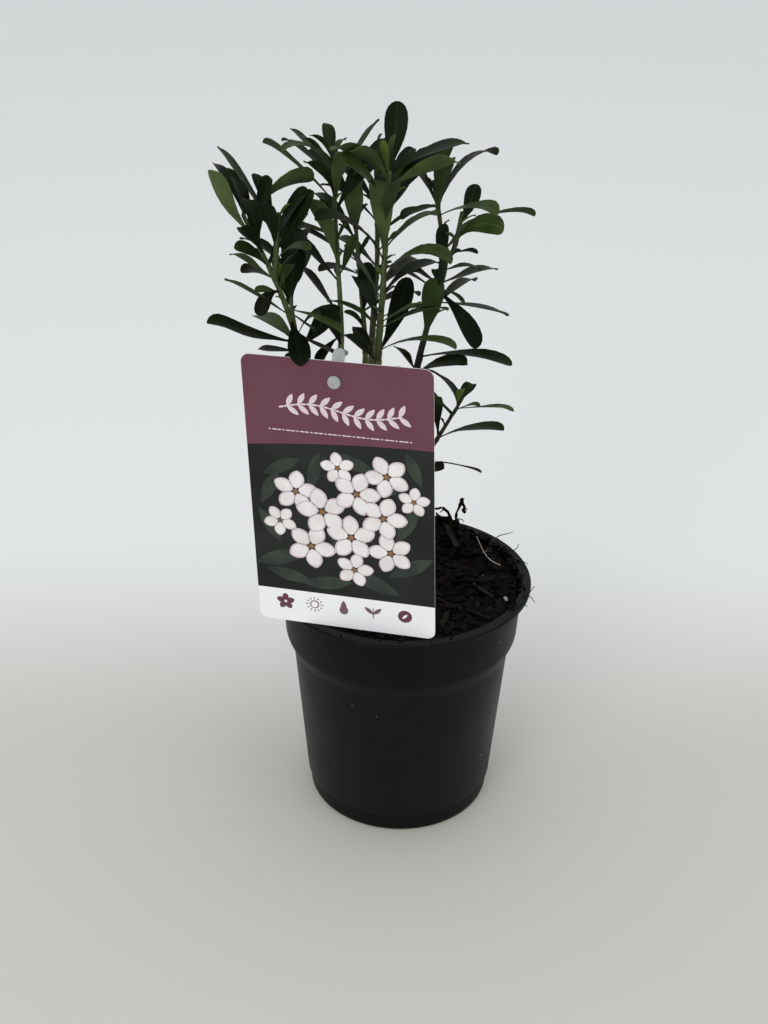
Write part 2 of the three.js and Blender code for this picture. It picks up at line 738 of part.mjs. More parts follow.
function leafSpace(frames) {
  const lines = [];
  const faces = [];
  const sides = [-1, 0, 1];
  const rows = frames.map((frame) => sides.map((side) => leafPoint(frame, side * frame.half, 0)));
  rows.forEach((row, k) => {
    lines.push([row[0], row[1]], [row[1], row[2]]);
    if (k) row.forEach((point, i) => lines.push([rows[k - 1][i], point]));
  });
  for (const lift of [-LEAF.clearance, LEAF.clearance]) {
    const grown = frames.map((frame) =>
      sides.map((side) => leafPoint(frame, side * (frame.half + LEAF.clearance), lift)),
    );
    grown.slice(1).forEach((row, k) => {
      for (const i of [0, 1]) {
        faces.push([grown[k][i], grown[k][i + 1], row[i + 1]]);
        faces.push([grown[k][i], row[i + 1], row[i]]);
      }
    });
  }
  return occupied(lines, faces);
}

function limbSpace(course) {
  const picks = course.filter((_, i) => i % 4 === 0 || i === course.length - 1);
  const lines = picks.slice(1).map(({ point }, k) => [picks[k].point, point]);
  const rings = picks.map(({ radius }, k) =>
    ringAround(picks, k, 4, LIMB.berth * radius + LEAF.clearance),
  );
  const faces = [];
  rings.slice(1).forEach((ring, k) => {
    for (let i = 0; i < 4; i++) {
      const j = (i + 1) % 4;
      faces.push([rings[k][i], rings[k][j], ring[j]]);
      faces.push([rings[k][i], ring[j], ring[i]]);
    }
  });
  return occupied(lines, faces);
}

// Does a line from p to q pass through a triangle?
function passes([p, q], [a, b, c]) {
  const along = new THREE.Vector3().subVectors(q, p);
  const ab = new THREE.Vector3().subVectors(b, a);
  const ac = new THREE.Vector3().subVectors(c, a);
  const cross = new THREE.Vector3().crossVectors(along, ac);
  const scale = ab.dot(cross);
  if (Math.abs(scale) < 1e-9) return false;
  const from = new THREE.Vector3().subVectors(p, a);
  const u = from.dot(cross) / scale;
  if (u < 0 || u > 1) return false;
  const turned = new THREE.Vector3().crossVectors(from, ab);
  const v = along.dot(turned) / scale;
  if (v < 0 || u + v > 1) return false;
  const t = ac.dot(turned) / scale;
  return t >= 0 && t <= 1;
}

const touch = (a, b) =>
  a.box.intersectsBox(b.box) &&
  (a.lines.some((line) => b.faces.some((face) => passes(line, face))) ||
    b.lines.some((line) => a.faces.some((face) => passes(line, face))));

// ---------------------------------------------------------------- where the leaves go

const stemsOf = (name) =>
  Object.keys(courses).filter((key) => key === name || key.startsWith(name + "_twig_"));

// Every mass's stems with their rows and rules, main stem first.
const stems = Object.entries(SHOOTS).flatMap(([name, shoot]) =>
  stemsOf(name).map((key, i) => {
    const { outline, rule } = i ? shoot.twigs[i - 1] : shoot;
    return { key, mass: name, room: new THREE.Box3(...shoot.room.map(V)), outline, rule };
  }),
);

const leaves = [];
const spaces = [];

const claim = (owner, space) => spaces.push({ owner, space });

// The card's space: a grid of lines on it, and a face on each side of it.
function cardSpace() {
  const [w, h] = [CARD.width / 2, CARD.height / 2];
  const depth = CARD.thickness / 2 + 2 * LEAF.clearance;
  const place = cardPlace();
  const spot = (x, y, z) => V([x, y, z]).applyMatrix4(place);
  const lines = [];
  const faces = [];
  for (const share of [-1, -0.67, -0.33, 0, 0.33, 0.67, 1]) {
    lines.push([spot(share * w, 0, -h), spot(share * w, 0, h)]);
    lines.push([spot(-w, 0, share * h), spot(w, 0, share * h)]);
  }
  const [wide, top] = [w + CARD.berth, h + CARD.berth];
  for (const y of [-depth, depth]) {
    const [a, b] = [spot(-wide, y, -h), spot(wide, y, -h)];
    const [c, d] = [spot(wide, y, top), spot(-wide, y, top)];
    faces.push([a, b, c], [a, c, d]);
  }
  return occupied(lines, faces);
}

// Where a leaf is tested for its room and the open places: from past its foot to its tip.
const fineStations = Array.from({ length: 13 }, (_, i) => 0.3 + (i * 0.7) / 12);

// Whether a leaf stands in an open place, seen from the eye.
function shuts(frames) {
  const [ex, ey, ez] = EYE;
  const points = frames.flatMap(({ centre, across, half }) =>
    [-half, 0, half].map((off) => centre.clone().addScaledVector(across, off)),
  );
  return points.some(({ x, y, z }) => {
    const scale = ey / (ey - y);
    const [u, v] = [ex + (x - ex) * scale, ez + (z - ez) * scale];
    return OPENINGS.some(([cx, cz, radius]) => Math.hypot(u - cx, v - cz) < radius);
  });
}

// Places one leaf if nothing is in its way. Every leaf may meet its own mass's stems. A leaf of
// the outline, which is given no room, may meet its own mass's leaves too.
function tryLeaf(stem, row, room) {
  const [height, turn, rise, length, options = {}] = row;
  const root = nearest(courses[stem.key], height).point;
  const width = length * LEAF.slim * (options.wide ?? 1);
  const usual = { droop: LEAF.droop, roll: 0, mass: stem.mass };
  const leaf = { ...usual, root, turn, rise, length, width, ...options };
  const frames = frameLeaf(leaf, LEAF.clearStations);
  if (room) {
    const fine = frameLeaf(leaf, fineStations);
    if (!fine.every(({ centre }) => room.containsPoint(centre)) || shuts(fine)) return false;
  }
  const mine = leafSpace(frames);
  const fused = room ? [stem.mass + "_stem"] : [stem.mass + "_stem", stem.mass];
  const others = spaces.filter(({ owner }) => !fused.includes(owner));
  if (others.some(({ space }) => touch(mine, space))) return false;
  leaves.push(leaf);
  claim(stem.mass, mine);
  return true;
}

// The golden-angle rule: leaves crowd and rise towards the tip, where the young ones stand.
function ruleRow(stem, i, random) {
  const { from, count, turn } = stem.rule;
  const share = i / (count - 1);
  const tip = courses[stem.key].at(-1).point.z;
  const height = mix(from, tip, 1 - (1 - share) ** RULE.crowding);
  const swing = (random() * 2 - 1) * RULE.spread;
  const young = (share - (1 - RULE.young)) / RULE.young;
  let rise = mix(...RULE.youngRise, young);
  let length = mix(...RULE.youngLength, young);
  if (young < 0) {
    rise = mix(...RULE.rise, share) + (random() * 2 - 1) * RULE.riseSpread;
    length = mix(...RULE.length, share) * mix(...RULE.lengthRange, random());
  }
  const roll = (random() * 2 - 1) * RULE.rollSpread;
  return [height, turn + i * RULE.turn + swing, rise, length, { roll }];
}

function placeLeaves() {
  stems.forEach(({ key, mass }) => claim(mass + "_stem", limbSpace(courses[key])));
  claim("card", cardSpace());
  stems.forEach((stem) => stem.outline.forEach((row) => tryLeaf(stem, row)));
  stems.forEach((stem, k) => {
    const random = seeded(RULE.seed[0] + RULE.seed[1] * k);
    for (let i = 0; i < stem.rule.count; i++) {
      const [height, turn, rise, length, options] = ruleRow(stem, i, random);
      const forward = (way) => Math.sin((way * Math.PI) / 180) < RULE.behind;
      const fits = ([more, up]) =>
        !(stem.outline.length && forward(turn + more)) &&
        tryLeaf(stem, [height, turn + more, rise + up, length, options], stem.room);
      RULE.tries.some(fits);
    }
  });
}

function buildFoliage() {
  for (const name of Object.keys(SHOOTS)) {
    const { from } = SHOOTS[name];
    const solids = stemsOf(name).map((key, i) => {
      const course = i ? courses[key] : courses[key].filter(({ point }) => point.z >= from);
      return tube(i ? course : clearOf(courses[key], course), LIMB.twigSides, LIMB.twigStep);
    });
    const own = leaves.filter(({ mass }) => mass === name);
    const mass = wasm.Manifold.union([...solids, ...own.map(leafSolid)]);
    addMesh("foliage_" + name, geometryOf(largest(mass)), MATERIALS.foliage);
  }
}

// ---------------------------------------------------------------- label card and tie

function cardPlace() {
  const turn = new THREE.Matrix4()
    .makeRotationZ(rad(CARD.yaw))
    .multiply(new THREE.Matrix4().makeRotationX(rad(CARD.pitch)))
    .multiply(new THREE.Matrix4().makeRotationY(rad(CARD.roll)));
  return turn.setPosition(...CARD.centre);
}

// A flat piece with its outline in the card's plane, from depth y0 to y1 behind the card's middle.
function flat(shape, y0, y1, curveSegments = 4) {
  return new THREE.ExtrudeGeometry(shape, { depth: y1 - y0, bevelEnabled: false, curveSegments })
    .rotateX(Math.PI / 2)
    .translate(0, y1, 0)
    .applyMatrix4(cardPlace());
}

function roundedRectangle(width, height, corner) {
  const [w, h] = [width / 2, height / 2];
  const shape = new THREE.Shape();
  shape.absarc(w - corner, h - corner, corner, 0, Math.PI / 2);
  shape.absarc(corner - w, h - corner, corner, Math.PI / 2, Math.PI);
  shape.absarc(corner - w, corner - h, corner, Math.PI, 1.5 * Math.PI);
  shape.absarc(w - corner, corner - h, corner, 1.5 * Math.PI, 2 * Math.PI);
  return shape;
}

function disc(x, y, radius) {
  const shape = new THREE.Shape();
  shape.absarc(x, y, radius, 0, 2 * Math.PI);
  return shape;
}

function buildCard() {
  const shape = roundedRectangle(CARD.width, CARD.height, CARD.corner);
  const [x, y, radius] = CARD.hole;
  shape.holes.push(new THREE.Path().absarc(x, y, radius, 0, 2 * Math.PI, true));
  const half = CARD.thickness / 2;
  addMesh("label_card", geometryOf(solidOf(flat(shape, -half, half))), MATERIALS.card);
}

// The outline of the tie's plate: round under the button, with shoulders up to a narrow crown.
function headOutline() {
  const [x, y] = CARD.hole;
  const top = CARD.height / 2 + TIE.head;
  const head = new THREE.Shape();
  head.absarc(x, y, TIE.buttonRadius, Math.PI, 2 * Math.PI);
  head.lineTo(x + TIE.buttonRadius, top - TIE.shoulder);
  head.lineTo(x + TIE.crown, top);
  head.lineTo(x - TIE.crown, top);
  head.lineTo(x - TIE.buttonRadius, top - TIE.shoulder);
  return head;
}

// The tie: a button in front of the card, a peg through its hole, a plate behind it that stands
// above it, and a strap that runs back to a ring round the bough.
function buildTie() {
  const [x, y] = CARD.hole;
  const front = -CARD.thickness / 2 - CLEARANCE;
  const back = CARD.thickness / 2 + CLEARANCE;
  const bough = courses.centre_left;
  const at = bough.indexOf(nearest(bough, TIE.ringHeight));
  const middle = bough[at].point;
  const way = new THREE.Vector3().subVectors(bough[at + 1].point, bough[at - 1].point).normalize();
  const reach = bough[at].radius + CLEARANCE + TIE.strap;
  const ring = new THREE.TorusGeometry(reach, TIE.strap, 5, 12)
    .applyQuaternion(new THREE.Quaternion().setFromUnitVectors(V([0, 0, 1]), way))
    .translate(...middle);
  const high = CARD.height / 2 + TIE.head - TIE.crown;
  const start = V([x, back + TIE.plate / 2, high]).applyMatrix4(cardPlace());
  const towards = new THREE.Vector3().subVectors(start, middle).setZ(0).setLength(reach);
  const end = middle.clone().add(towards);
  const arch = start.clone().lerp(end, 0.5).add(V([0, 0, TIE.arch]));
  const strap = courseOf([[...start], [...arch], [...end]], [TIE.strap * TIE.strapStart, TIE.strap]);
  const pieces = [
    solidOf(flat(disc(x, y, TIE.buttonRadius), front - TIE.buttonHeight, front)),
    solidOf(flat(disc(x, y, TIE.pegRadius), front - TIE.buttonHeight / 2, back + TIE.plate / 2)),
    solidOf(flat(headOutline(), back, back + TIE.plate)),
    tube(strap, 5, 6),
    solidOf(ring),
  ];
  addMesh("label_tie", geometryOf(wasm.Manifold.union(pieces)), MATERIALS.tie);
}

// ---------------------------------------------------------------- the whole plant

buildPot();
buildSoil();
buildTrunk();
buildBoughs();
placeLeaves();
buildFoliage();
buildCard();
buildTie();

export default plant;
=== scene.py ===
"""Dresses a young daphne shrub in its nursery pot: pot, compost, bark, twigs, leaves and label.

Sizes of the plant are in millimetres, as its limbs and leaves are planned. Everything is turned
into metres where a mesh is made. +Z is up, -Y is the front, and the pot stands on Z = 0.
"""

import json
import logging
import math
import random
from dataclasses import dataclass, field
from enum import Enum
from typing import Callable, Iterable, Sequence

import bmesh
import bpy
import numpy as np
from bmesh.types import BMesh, BMVert
from bpy.types import ID, Material, Mesh, Node, NodeSocket, NodeTree, Object
from mathutils import Matrix, Vector, noise

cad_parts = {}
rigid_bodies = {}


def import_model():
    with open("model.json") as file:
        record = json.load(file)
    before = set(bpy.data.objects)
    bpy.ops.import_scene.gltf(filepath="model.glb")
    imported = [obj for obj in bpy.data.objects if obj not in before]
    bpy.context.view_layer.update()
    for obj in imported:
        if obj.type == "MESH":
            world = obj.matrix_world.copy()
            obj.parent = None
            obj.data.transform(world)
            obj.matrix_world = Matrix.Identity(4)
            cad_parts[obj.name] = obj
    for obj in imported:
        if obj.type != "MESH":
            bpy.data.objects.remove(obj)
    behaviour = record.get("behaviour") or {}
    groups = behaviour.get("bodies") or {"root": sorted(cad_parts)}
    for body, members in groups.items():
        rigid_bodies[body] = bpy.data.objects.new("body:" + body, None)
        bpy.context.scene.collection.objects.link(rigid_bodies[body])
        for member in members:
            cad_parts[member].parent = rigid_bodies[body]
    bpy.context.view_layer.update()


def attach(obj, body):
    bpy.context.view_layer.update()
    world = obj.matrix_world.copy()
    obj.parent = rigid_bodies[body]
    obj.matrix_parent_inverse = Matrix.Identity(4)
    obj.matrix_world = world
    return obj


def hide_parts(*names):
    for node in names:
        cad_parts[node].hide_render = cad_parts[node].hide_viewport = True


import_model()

LOG = logging.getLogger("daphne")
BODY = "root"
MM = 0.001
CLEARANCE = 0.3
WELD = 1e-4

Vec = np.ndarray
Colour = tuple[int, int, int]


# ---------------------------------------------------------------- the plan of the plant


class LeafTint(Enum):
    """The base colours of leaves: upper face, underside and midrib."""

    DARK = ((12, 20, 8), (22, 31, 15), (21, 31, 14))
    DEEP = ((20, 31, 13), (33, 43, 22), (32, 44, 22))
    MID = ((33, 46, 20), (49, 62, 33), (46, 60, 29))
    FRESH = ((52, 65, 32), (70, 83, 50), (68, 82, 43))
    YOUNG = ((74, 93, 34), (84, 103, 44), (90, 109, 50))
    WITHERED = ((19, 21, 13), (31, 31, 20), (29, 27, 19))


DARK, DEEP, MID, FRESH, YOUNG, WITHERED = LeafTint


@dataclass(frozen=True)
class Row:
    """One leaf, by the values that the plan's tables give in this order.

    Height is where it stands on its stem, turn its heading about Z and rise its slope, both in
    degrees. Without a tint of its own it is dealt one. Droop is how far the blade turns down from
    base to tip, roll turns it about its own midrib, and wide widens it.
    """

    height: float
    turn: float
    rise: float
    length: float
    tint: LeafTint | None = None
    droop: float = 32
    roll: float = 0
    wide: float = 1


@dataclass(frozen=True)
class Rule:
    """Where the golden-angle leaves of a stem start, how many it tries, and the first one's turn."""

    start: float
    count: int
    turn: float


@dataclass(frozen=True)
class Twig:
    """A side twig of a shoot, from a height on its main stem."""

    start: float
    path: tuple
    outline: tuple
    rule: Rule


@dataclass(frozen=True)
class Shoot:
    """A bough and the leafy mass that it carries.

    The path runs from the fork, or from a height on the parent shoot, to the tip. Start is the
    height where the bare bough ends, and room is the mass's own space.
    """

    path: tuple
    start: float
    radii: tuple[float, float]
    room: tuple
    outline: tuple
    rule: Rule
    twigs: tuple = ()
    parent: str = ""
    at: float = 0


SHOOTS = {
    "left": Shoot(
        path=((-26, -12, 165), (-48, -30, 258), (-57, -32, 286), (-69, -36, 315)),
        start=250, radii=(2.5, 1), room=((-88, -72, 240), (-34, 0, 334)),
        outline=(
            Row(304, -155, 61, 36, FRESH, -30, 30), Row(310, 126, 39, 34, DEEP, 30, 25, 0.9),
            Row(302, -57, 65, 34, DEEP, 40, 85, 1.1), Row(311, 41, 21, 40, FRESH, 65, -55),
            Row(290, -134, 38, 24, MID, 30, -50), Row(286, 140, 15, 27, FRESH, 5, 10, 0.9),
            Row(270, -148, 36, 36, MID, 5, 10), Row(279, -142, 19, 14, FRESH, 30, -35),
            Row(274, 82, 35, 32, DEEP, -15, 0, 1.1), Row(281, -49, 57, 17, MID, 15, -15),
            Row(273, -45, 0, 34, FRESH, 15, -15), Row(272, -51, -9, 20, MID, 2, -30),
            Row(261, -79, -22, 24, DARK, 105, 5, 1.4), Row(263, -45, -7, 26, MID, -25, -20),
            Row(258, -21, 38, 28, DEEP, 80, 15), Row(255, 61, 20, 30, DEEP, -60, 15, 1.1),
            Row(256, -150, 24, 45, DEEP, -15, -15), Row(253, 153, -7, 22, DEEP, -15, -5),
        ),
        rule=Rule(270, 13, 200),
        twigs=(
            Twig(
                start=286, path=((-56, -34, 297), (-54, -37, 316)),
                outline=(
                    Row(311, 119, 37, 28, DEEP, -30, 20), Row(294, -39, 28, 24, FRESH, 65, 15),
                    Row(299, -32, 56, 34, DEEP, -10, 60, 1.1),
                    Row(295, -26, 63, 36, DEEP, 45, 40, 1.1), Row(306, 137, 41, 47, MID, 5, 35),
                ),
                rule=Rule(292, 10, 20),
            ),
        ),
    ),
    "centre": Shoot(
        path=((-15, -10, 165), (-13, -23, 245), (-11, -25, 281), (-9, -22, 330)),
        start=244, radii=(2.6, 1.1), room=((-38, -66, 240), (24, 14, 350)),
        outline=(
            Row(329, 81, 53, 34, DEEP, -60, 10, 1.1), Row(329, -113, 66, 17, YOUNG, -30, -15),
            Row(291, -114, 78, 40, FRESH, 15), Row(329, -135, 29, 36, FRESH, 15, 20, 1.1),
            Row(328, 29, 15, 40, DEEP, 30, 0, 1.1), Row(323, -40, 28, 40, FRESH, 10, -30),
            Row(328, 54, 25, 20, DEEP, 25, 15), Row(291, -148, 38, 44, DEEP, 60, -10),
            Row(297, 45, 17, 34, FRESH, 45, -20), Row(281, -19, 25, 40, FRESH, 110, 5, 1.1),
            Row(277, 46, 10, 38, DEEP, 50, -5), Row(250, 66, 38, 42, DARK, -60, -10),
            Row(250, -27, 14, 40, FRESH, 50, -5, 0.9), Row(247, 110, 9, 32, DEEP, -60, 20),
            Row(244, -137, 44, 28, DEEP, 15, 20), Row(261, -147, 35, 32, MID, 30, 15),
            Row(274, 125, 31, 34, MID, 15, 40, 0.9), Row(264, -32, 34, 24, FRESH, 5, -10),
            Row(261, 31, 6, 36, MID, 30, -15),
        ),
        rule=Rule(262, 14, 170),
    ),
    "right": Shoot(
        path=((-6, -2, 165), (5, 0, 233), (15, 5, 282), (11, 15, 317)),
        start=231, radii=(2.5, 1), room=((-16, -36, 222), (50, 48, 336)),
        outline=(
            Row(303, -78, 64, 34, MID, 55, 5), Row(305, 38, 33, 44, DEEP, 80, -20),
            Row(306, -139, -1, 22, MID, 25, -10), Row(302, -49, 17, 38, FRESH, 30, 10),
            Row(278, -83, 76, 25, DARK, -20, 20), Row(272, -156, 35, 16, DEEP, 25, -30),
            Row(278, 29, -3, 22, MID, 35), Row(272, 39, 2, 36, MID, 15, -5),
            Row(246, -58, 76, 34, MID, -15, -30, 1.1), Row(270, -35, -14, 16, MID, 55, -10),
            Row(270, -46, -38, 34, DARK, 35, 15), Row(264, 28, -17, 42, MID, 10, -5),
            Row(238, -25, 6, 46, DEEP, 35, 0, 0.9), Row(231, 40, -6, 32, DEEP, 15, 5),
            Row(231, -127, 48, 24, DEEP, 10),
        ),
        rule=Rule(250, 12, 260),
        twigs=(
            Twig(
                start=282, path=((20, 2, 289), (23, -5, 308)),
                outline=(
                    Row(302, 64, 41, 22, DEEP, -50, 20, 1.2),
                    Row(293, -33, 23, 28, FRESH, 80, 60, 1.2), Row(301, 22, 4, 38, MID, 40, -25),
                ),
                rule=Rule(288, 8, 150),
            ),
        ),
    ),
    "back": Shoot(
        path=((-16, 10, 165), (-16, 26, 235), (-14, 33, 274), (-15, 38, 318)),
        start=236, radii=(2.4, 1), room=((-44, 8, 232), (20, 74, 332)),
        outline=(), rule=Rule(245, 28, 30),
    ),
    "centre_left": Shoot(
        parent="left", at=150,
        path=((-29, -24, 205), (-29, -26, 261), (-31, -15, 294), (-33, -5, 328)),
        start=260, radii=(1.9, 0.9), room=((-62, -48, 250), (-6, 30, 346)),
        outline=(
            Row(328, 100, 36, 24, MID, -10, 20), Row(328, -146, 53, 19, MID, 60, 15),
            Row(328, 65, 39, 16, FRESH, 80, -20), Row(313, 147, 30, 44, MID, 20, 40),
            Row(322, 142, 26, 32, MID, 15, 20), Row(326, -150, 26, 30, FRESH, 85),
            Row(325, 137, 29, 30, MID, 15, 20, 0.9), Row(328, -141, 43, 22, MID, 15),
            Row(316, -125, 44, 28, DEEP, 50, 10), Row(288, -148, 68, 34, FRESH, 15, 30),
            Row(281, 134, 26, 36, DEEP, 10, 20), Row(267, 128, 27, 36, DEEP, 5, 30),
            Row(318, 54, 38, 40, MID, 5, -40, 0.9),
        ),
        rule=Rule(275, 12, 80),
    ),
    "centre_back": Shoot(
        parent="back", at=160,
        path=((-20, 10, 205), (-19, 10, 238), (-22, 15, 275), (-25, 18, 311)),
        start=237, radii=(1.9, 0.9), room=((-60, -20, 228), (16, 56, 334)),
        outline=(
            Row(311, 48, 42, 30, DEEP, 30, -5), Row(288, -111, 79, 30, FRESH, -10, 15, 1.1),
            Row(284, 138, 3, 44, MID, 25, 30), Row(278, -174, 33, 30, DEEP, 10),
            Row(256, -75, 75, 28, DARK, -50, 0, 1.1), Row(245, 168, 48, 16, MID, 80, -10),
        ),
        rule=Rule(250, 18, 300),
    ),
    "low_right": Shoot(
        parent="right", at=158,
        path=((4, -8, 182), (14, -15, 203), (25, -25, 229)),
        start=200, radii=(1.4, 0.8), room=((-10, -52, 196), (36, 20, 240)),
        outline=(
            Row(224, -75, 61, 14, YOUNG), Row(224, 61, 22, 17, MID, 32, 0, 1.4),
            Row(223, -34, 15, 30, FRESH, 10, -10, 0.8), Row(221, -41, 28, 16, FRESH),
            Row(205, -35, 23, 38, MID, 30, 8, 0.8), Row(206, 93, 17, 30, DEEP, 32, 0, 0.9),
        ),
        rule=Rule(206, 6, 200),
    ),
    "back_left": Shoot(
        parent="left", at=172,
        path=((-42, -4, 215), (-52, 12, 250), (-57, 26, 288)),
        start=226, radii=(1.7, 0.9), room=((-82, -6, 225), (-38, 60, 306)),
        outline=(), rule=Rule(240, 20, 110),
    ),
    "low_right_back": Shoot(
        parent="right", at=148,
        path=((2, 9, 158), (8, 15, 168), (12, 19, 177)),
        start=166, radii=(1.2, 0.8), room=((-30, -10, 150), (13, 56, 200)),
        outline=(
            Row(176, -34, 6, 31, None, 20, -25, 0.7), Row(172, -45, 27, 15, None, 20, 40, 1.5),
        ),
        rule=Rule(168, 7, 100),
    ),
    "low_left": Shoot(
        parent="left", at=146,
        path=((-33, 2, 165), (-42, 12, 188), (-46, 17, 206)),
        start=180, radii=(1.3, 0.8), room=((-84, -14, 172), (-14, 52, 232)),
        outline=(), rule=Rule(184, 10, 10),
    ),
}


EYE = (-10, -600, 478)

# The open places of the crown, seen from the eye: x, z and radius on the plane y = 0.
OPENINGS = (
    (-56, 312, 3), (-65, 295, 2), (-54, 331, 4), (-64, 332, 4), (-42, 321, 3), (-43, 305, 1.5),
    (-38, 289, 3.5), (-37, 274, 4), (-46, 270, 4), (-41, 265, 2.5), (-47, 264, 3), (-49, 255, 2.5),
    (-27, 269, 4), (-25, 285, 1.5), (-16, 306, 3), (-16, 285, 2.5), (-27, 309, 1.5), (-15, 294, 1.5),
    (1, 294, 5), (9, 295, 3.5), (4, 314, 4), (-1, 311, 2), (12, 301, 1.5), (20, 302, 2),
    (18, 316, 2.5), (23, 322, 4.5), (28, 326, 5), (-4, 276, 1.5), (5, 279, 1.5), (5, 266, 1.5),
    (3, 257, 2.5), (1, 252, 3.5), (15, 253, 5.5), (11, 244, 2.5), (22, 247, 3.5), (31, 270, 4.5),
    (38, 271, 4.5), (27, 286, 2.5), (35, 287, 4), (-1, 244, 1.5), (-7, 238, 3.5), (-75, 276, 3.5),
    (-68, 274, 2.5), (-81, 282, 3.5), (-76, 260, 4), (-83, 266, 5.5), (-66, 244, 2), (-62, 243, 2),
    (-47, 332, 3.5), (-55, 335, 2), (-77, 306, 1.5), (-23, 342, 4.5), (-17, 342, 3), (5, 343, 5.5),
    (1, 338, 2), (-19, 348, 3.5), (-28, 345, 4), (33, 340, 6), (41, 320, 8), (32, 322, 2.5),
    (49, 294, 7), (43, 286, 4.5), (47, 271, 5.5), (45, 250, 7.5), (37, 255, 3.5), (-75, 341, 6),
    (-90, 333, 6), (-90, 297, 8), (-88, 272, 5.5), (-73, 328, 2), (-66, 327, 2), (-48, 339, 2),
    (12, 343, 4.5), (-34, 354, 6),
)


def shut(points: Vec) -> bool:
    """Whether any of the points stands in an open place, seen from the eye."""
    eye, open_at = np.array(EYE, float), np.array(OPENINGS)
    seen = eye + (points - eye) * (eye[1] / (eye[1] - points[:, 1:2]))
    apart = np.hypot(seen[:, None, 0] - open_at[:, 0], seen[:, None, 2] - open_at[:, 1])
    return bool((apart < open_at[:, 2]).any())


def mix(a: float, b: float, t: float) -> float:
    """The value a share t of the way from a to b."""
    return a + (b - a) * t


def unit(vector: Vec) -> Vec:
    """A vector of length one."""
    return vector / np.linalg.norm(vector)


def polar(radius: float, angle: float) -> tuple[float, float]:
    """Where a radius and an angle lead, along the first axis and the second."""
    return radius * math.cos(angle), radius * math.sin(angle)


def rotation(axis: str, degrees: float) -> Matrix:
    """A turn about an axis."""
    return Matrix.Rotation(math.radians(degrees), 4, axis)


def smooth(t: float) -> float:
    """An ease from 0 to 1, flat at both ends."""
    t = min(1.0, max(0.0, t))
    return t * t * (3 - 2 * t)


class ParkMiller:
    """The generator that the plan's own draws come from: whole numbers only."""

    def __init__(self, seed: int) -> None:
        """Starts from a seed."""
        self.state = seed

    def draw(self) -> float:
        """The next value, from 0 to 1."""
        self.state = self.state * 16807 % 2147483647
        return self.state / 2147483647

    def swing(self, spread: float) -> float:
        """The next value, from -spread to spread."""
        return (self.draw() * 2 - 1) * spread


@dataclass
class Course:
    """A stem's line: points about a millimetre apart, with the stem's radius at each."""

    points: Vec
    radii: Vec

    @classmethod
    def through(cls, points: Sequence, radii: tuple[float, float]) -> "Course":
        """A smooth course through a few points.

        Args:
            points: the points, in millimetres.
            radii: the stem's radius at the two ends.

        Returns:
            The course, tapering evenly.
        """
        given = np.array(points, float)
        knots = np.vstack([2 * given[0] - given[1], given, 2 * given[-1] - given[-2]])

        def at(t: Vec) -> Vec:
            """The curve's points at shares t of its spans."""
            place = (len(given) - 1) * t
            span = np.minimum(place.astype(int), len(given) - 2)
            w = (place - span)[:, None]
            a, b, c, d = (knots[span + i] for i in range(4))
            first, last = (c - a) / 2, (d - b) / 2
            return (
                b + first * w + (3 * (c - b) - 2 * first - last) * w**2
                + (2 * (b - c) + first + last) * w**3
            )

        shares = np.linspace(0, 1, 201)
        steps = np.linalg.norm(np.diff(at(shares), axis=0), axis=1)
        lengths = np.concatenate([[0], np.cumsum(steps)])
        count = math.ceil(lengths[-1])
        even = np.interp(np.linspace(0, lengths[-1], count + 1), lengths, shares)
        return cls(at(even), np.linspace(radii[0], radii[1], count + 1))

    def nearest(self, height: float) -> int:
        """The number of the sample nearest to a height."""
        return int(np.argmin(np.abs(self.points[:, 2] - height)))

    def part(self, chosen: Vec | slice) -> "Course":
        """A stretch of the course, or a thinner choice of its samples."""
        return Course(self.points[chosen], self.radii[chosen])

    def along(self, i: int) -> Vec:
        """The stem's direction at a sample."""
        last = len(self.points) - 1
        return unit(self.points[min(i + 1, last)] - self.points[max(i - 1, 0)])

    def square(self, i: int) -> tuple[Vec, Vec]:
        """Two directions square to the stem at a sample."""
        along = self.along(i)
        across = unit(np.array([1, 0, 0]) - along * along[0])
        return across, np.cross(along, across)


@dataclass(frozen=True)
class LeafShape:
    """The outline and the cross-section that every leaf shares."""

    slim: float = 0.27
    petiole: float = 0.09
    swell: float = 1.9
    blunt: float = 0.75
    fold: float = 0.16
    broadest: float = 0.74
    narrow: float = 1.6
    round_tip: float = 2.7
    clearance: float = 0.5
    clear_at: tuple = (0.16, 0.36, 0.56, 0.76, 0.92, 1)

    def half(self, s: Vec) -> Vec:
        """Half-width along the blade as it is planned, as a share of the greatest."""
        blade = np.maximum(np.sin(np.pi * s**self.swell), 0) ** self.blunt
        return np.maximum(self.petiole * (1 - s) * 2, blade)

    def outline(self, s: Vec) -> Vec:
        """Half-width of the finished blade: narrow at its foot, broad and round at its tip."""
        foot = np.sin(np.pi / 2 * np.minimum(s / self.broadest, 1) ** self.narrow)
        past = np.clip((s - self.broadest) / (1 - self.broadest), 0, 1)
        blade = np.where(s < self.broadest, foot, (1 - past**self.round_tip) ** 0.5)
        return np.maximum(self.petiole * (1 - s) * 2, blade)


SHAPE = LeafShape()


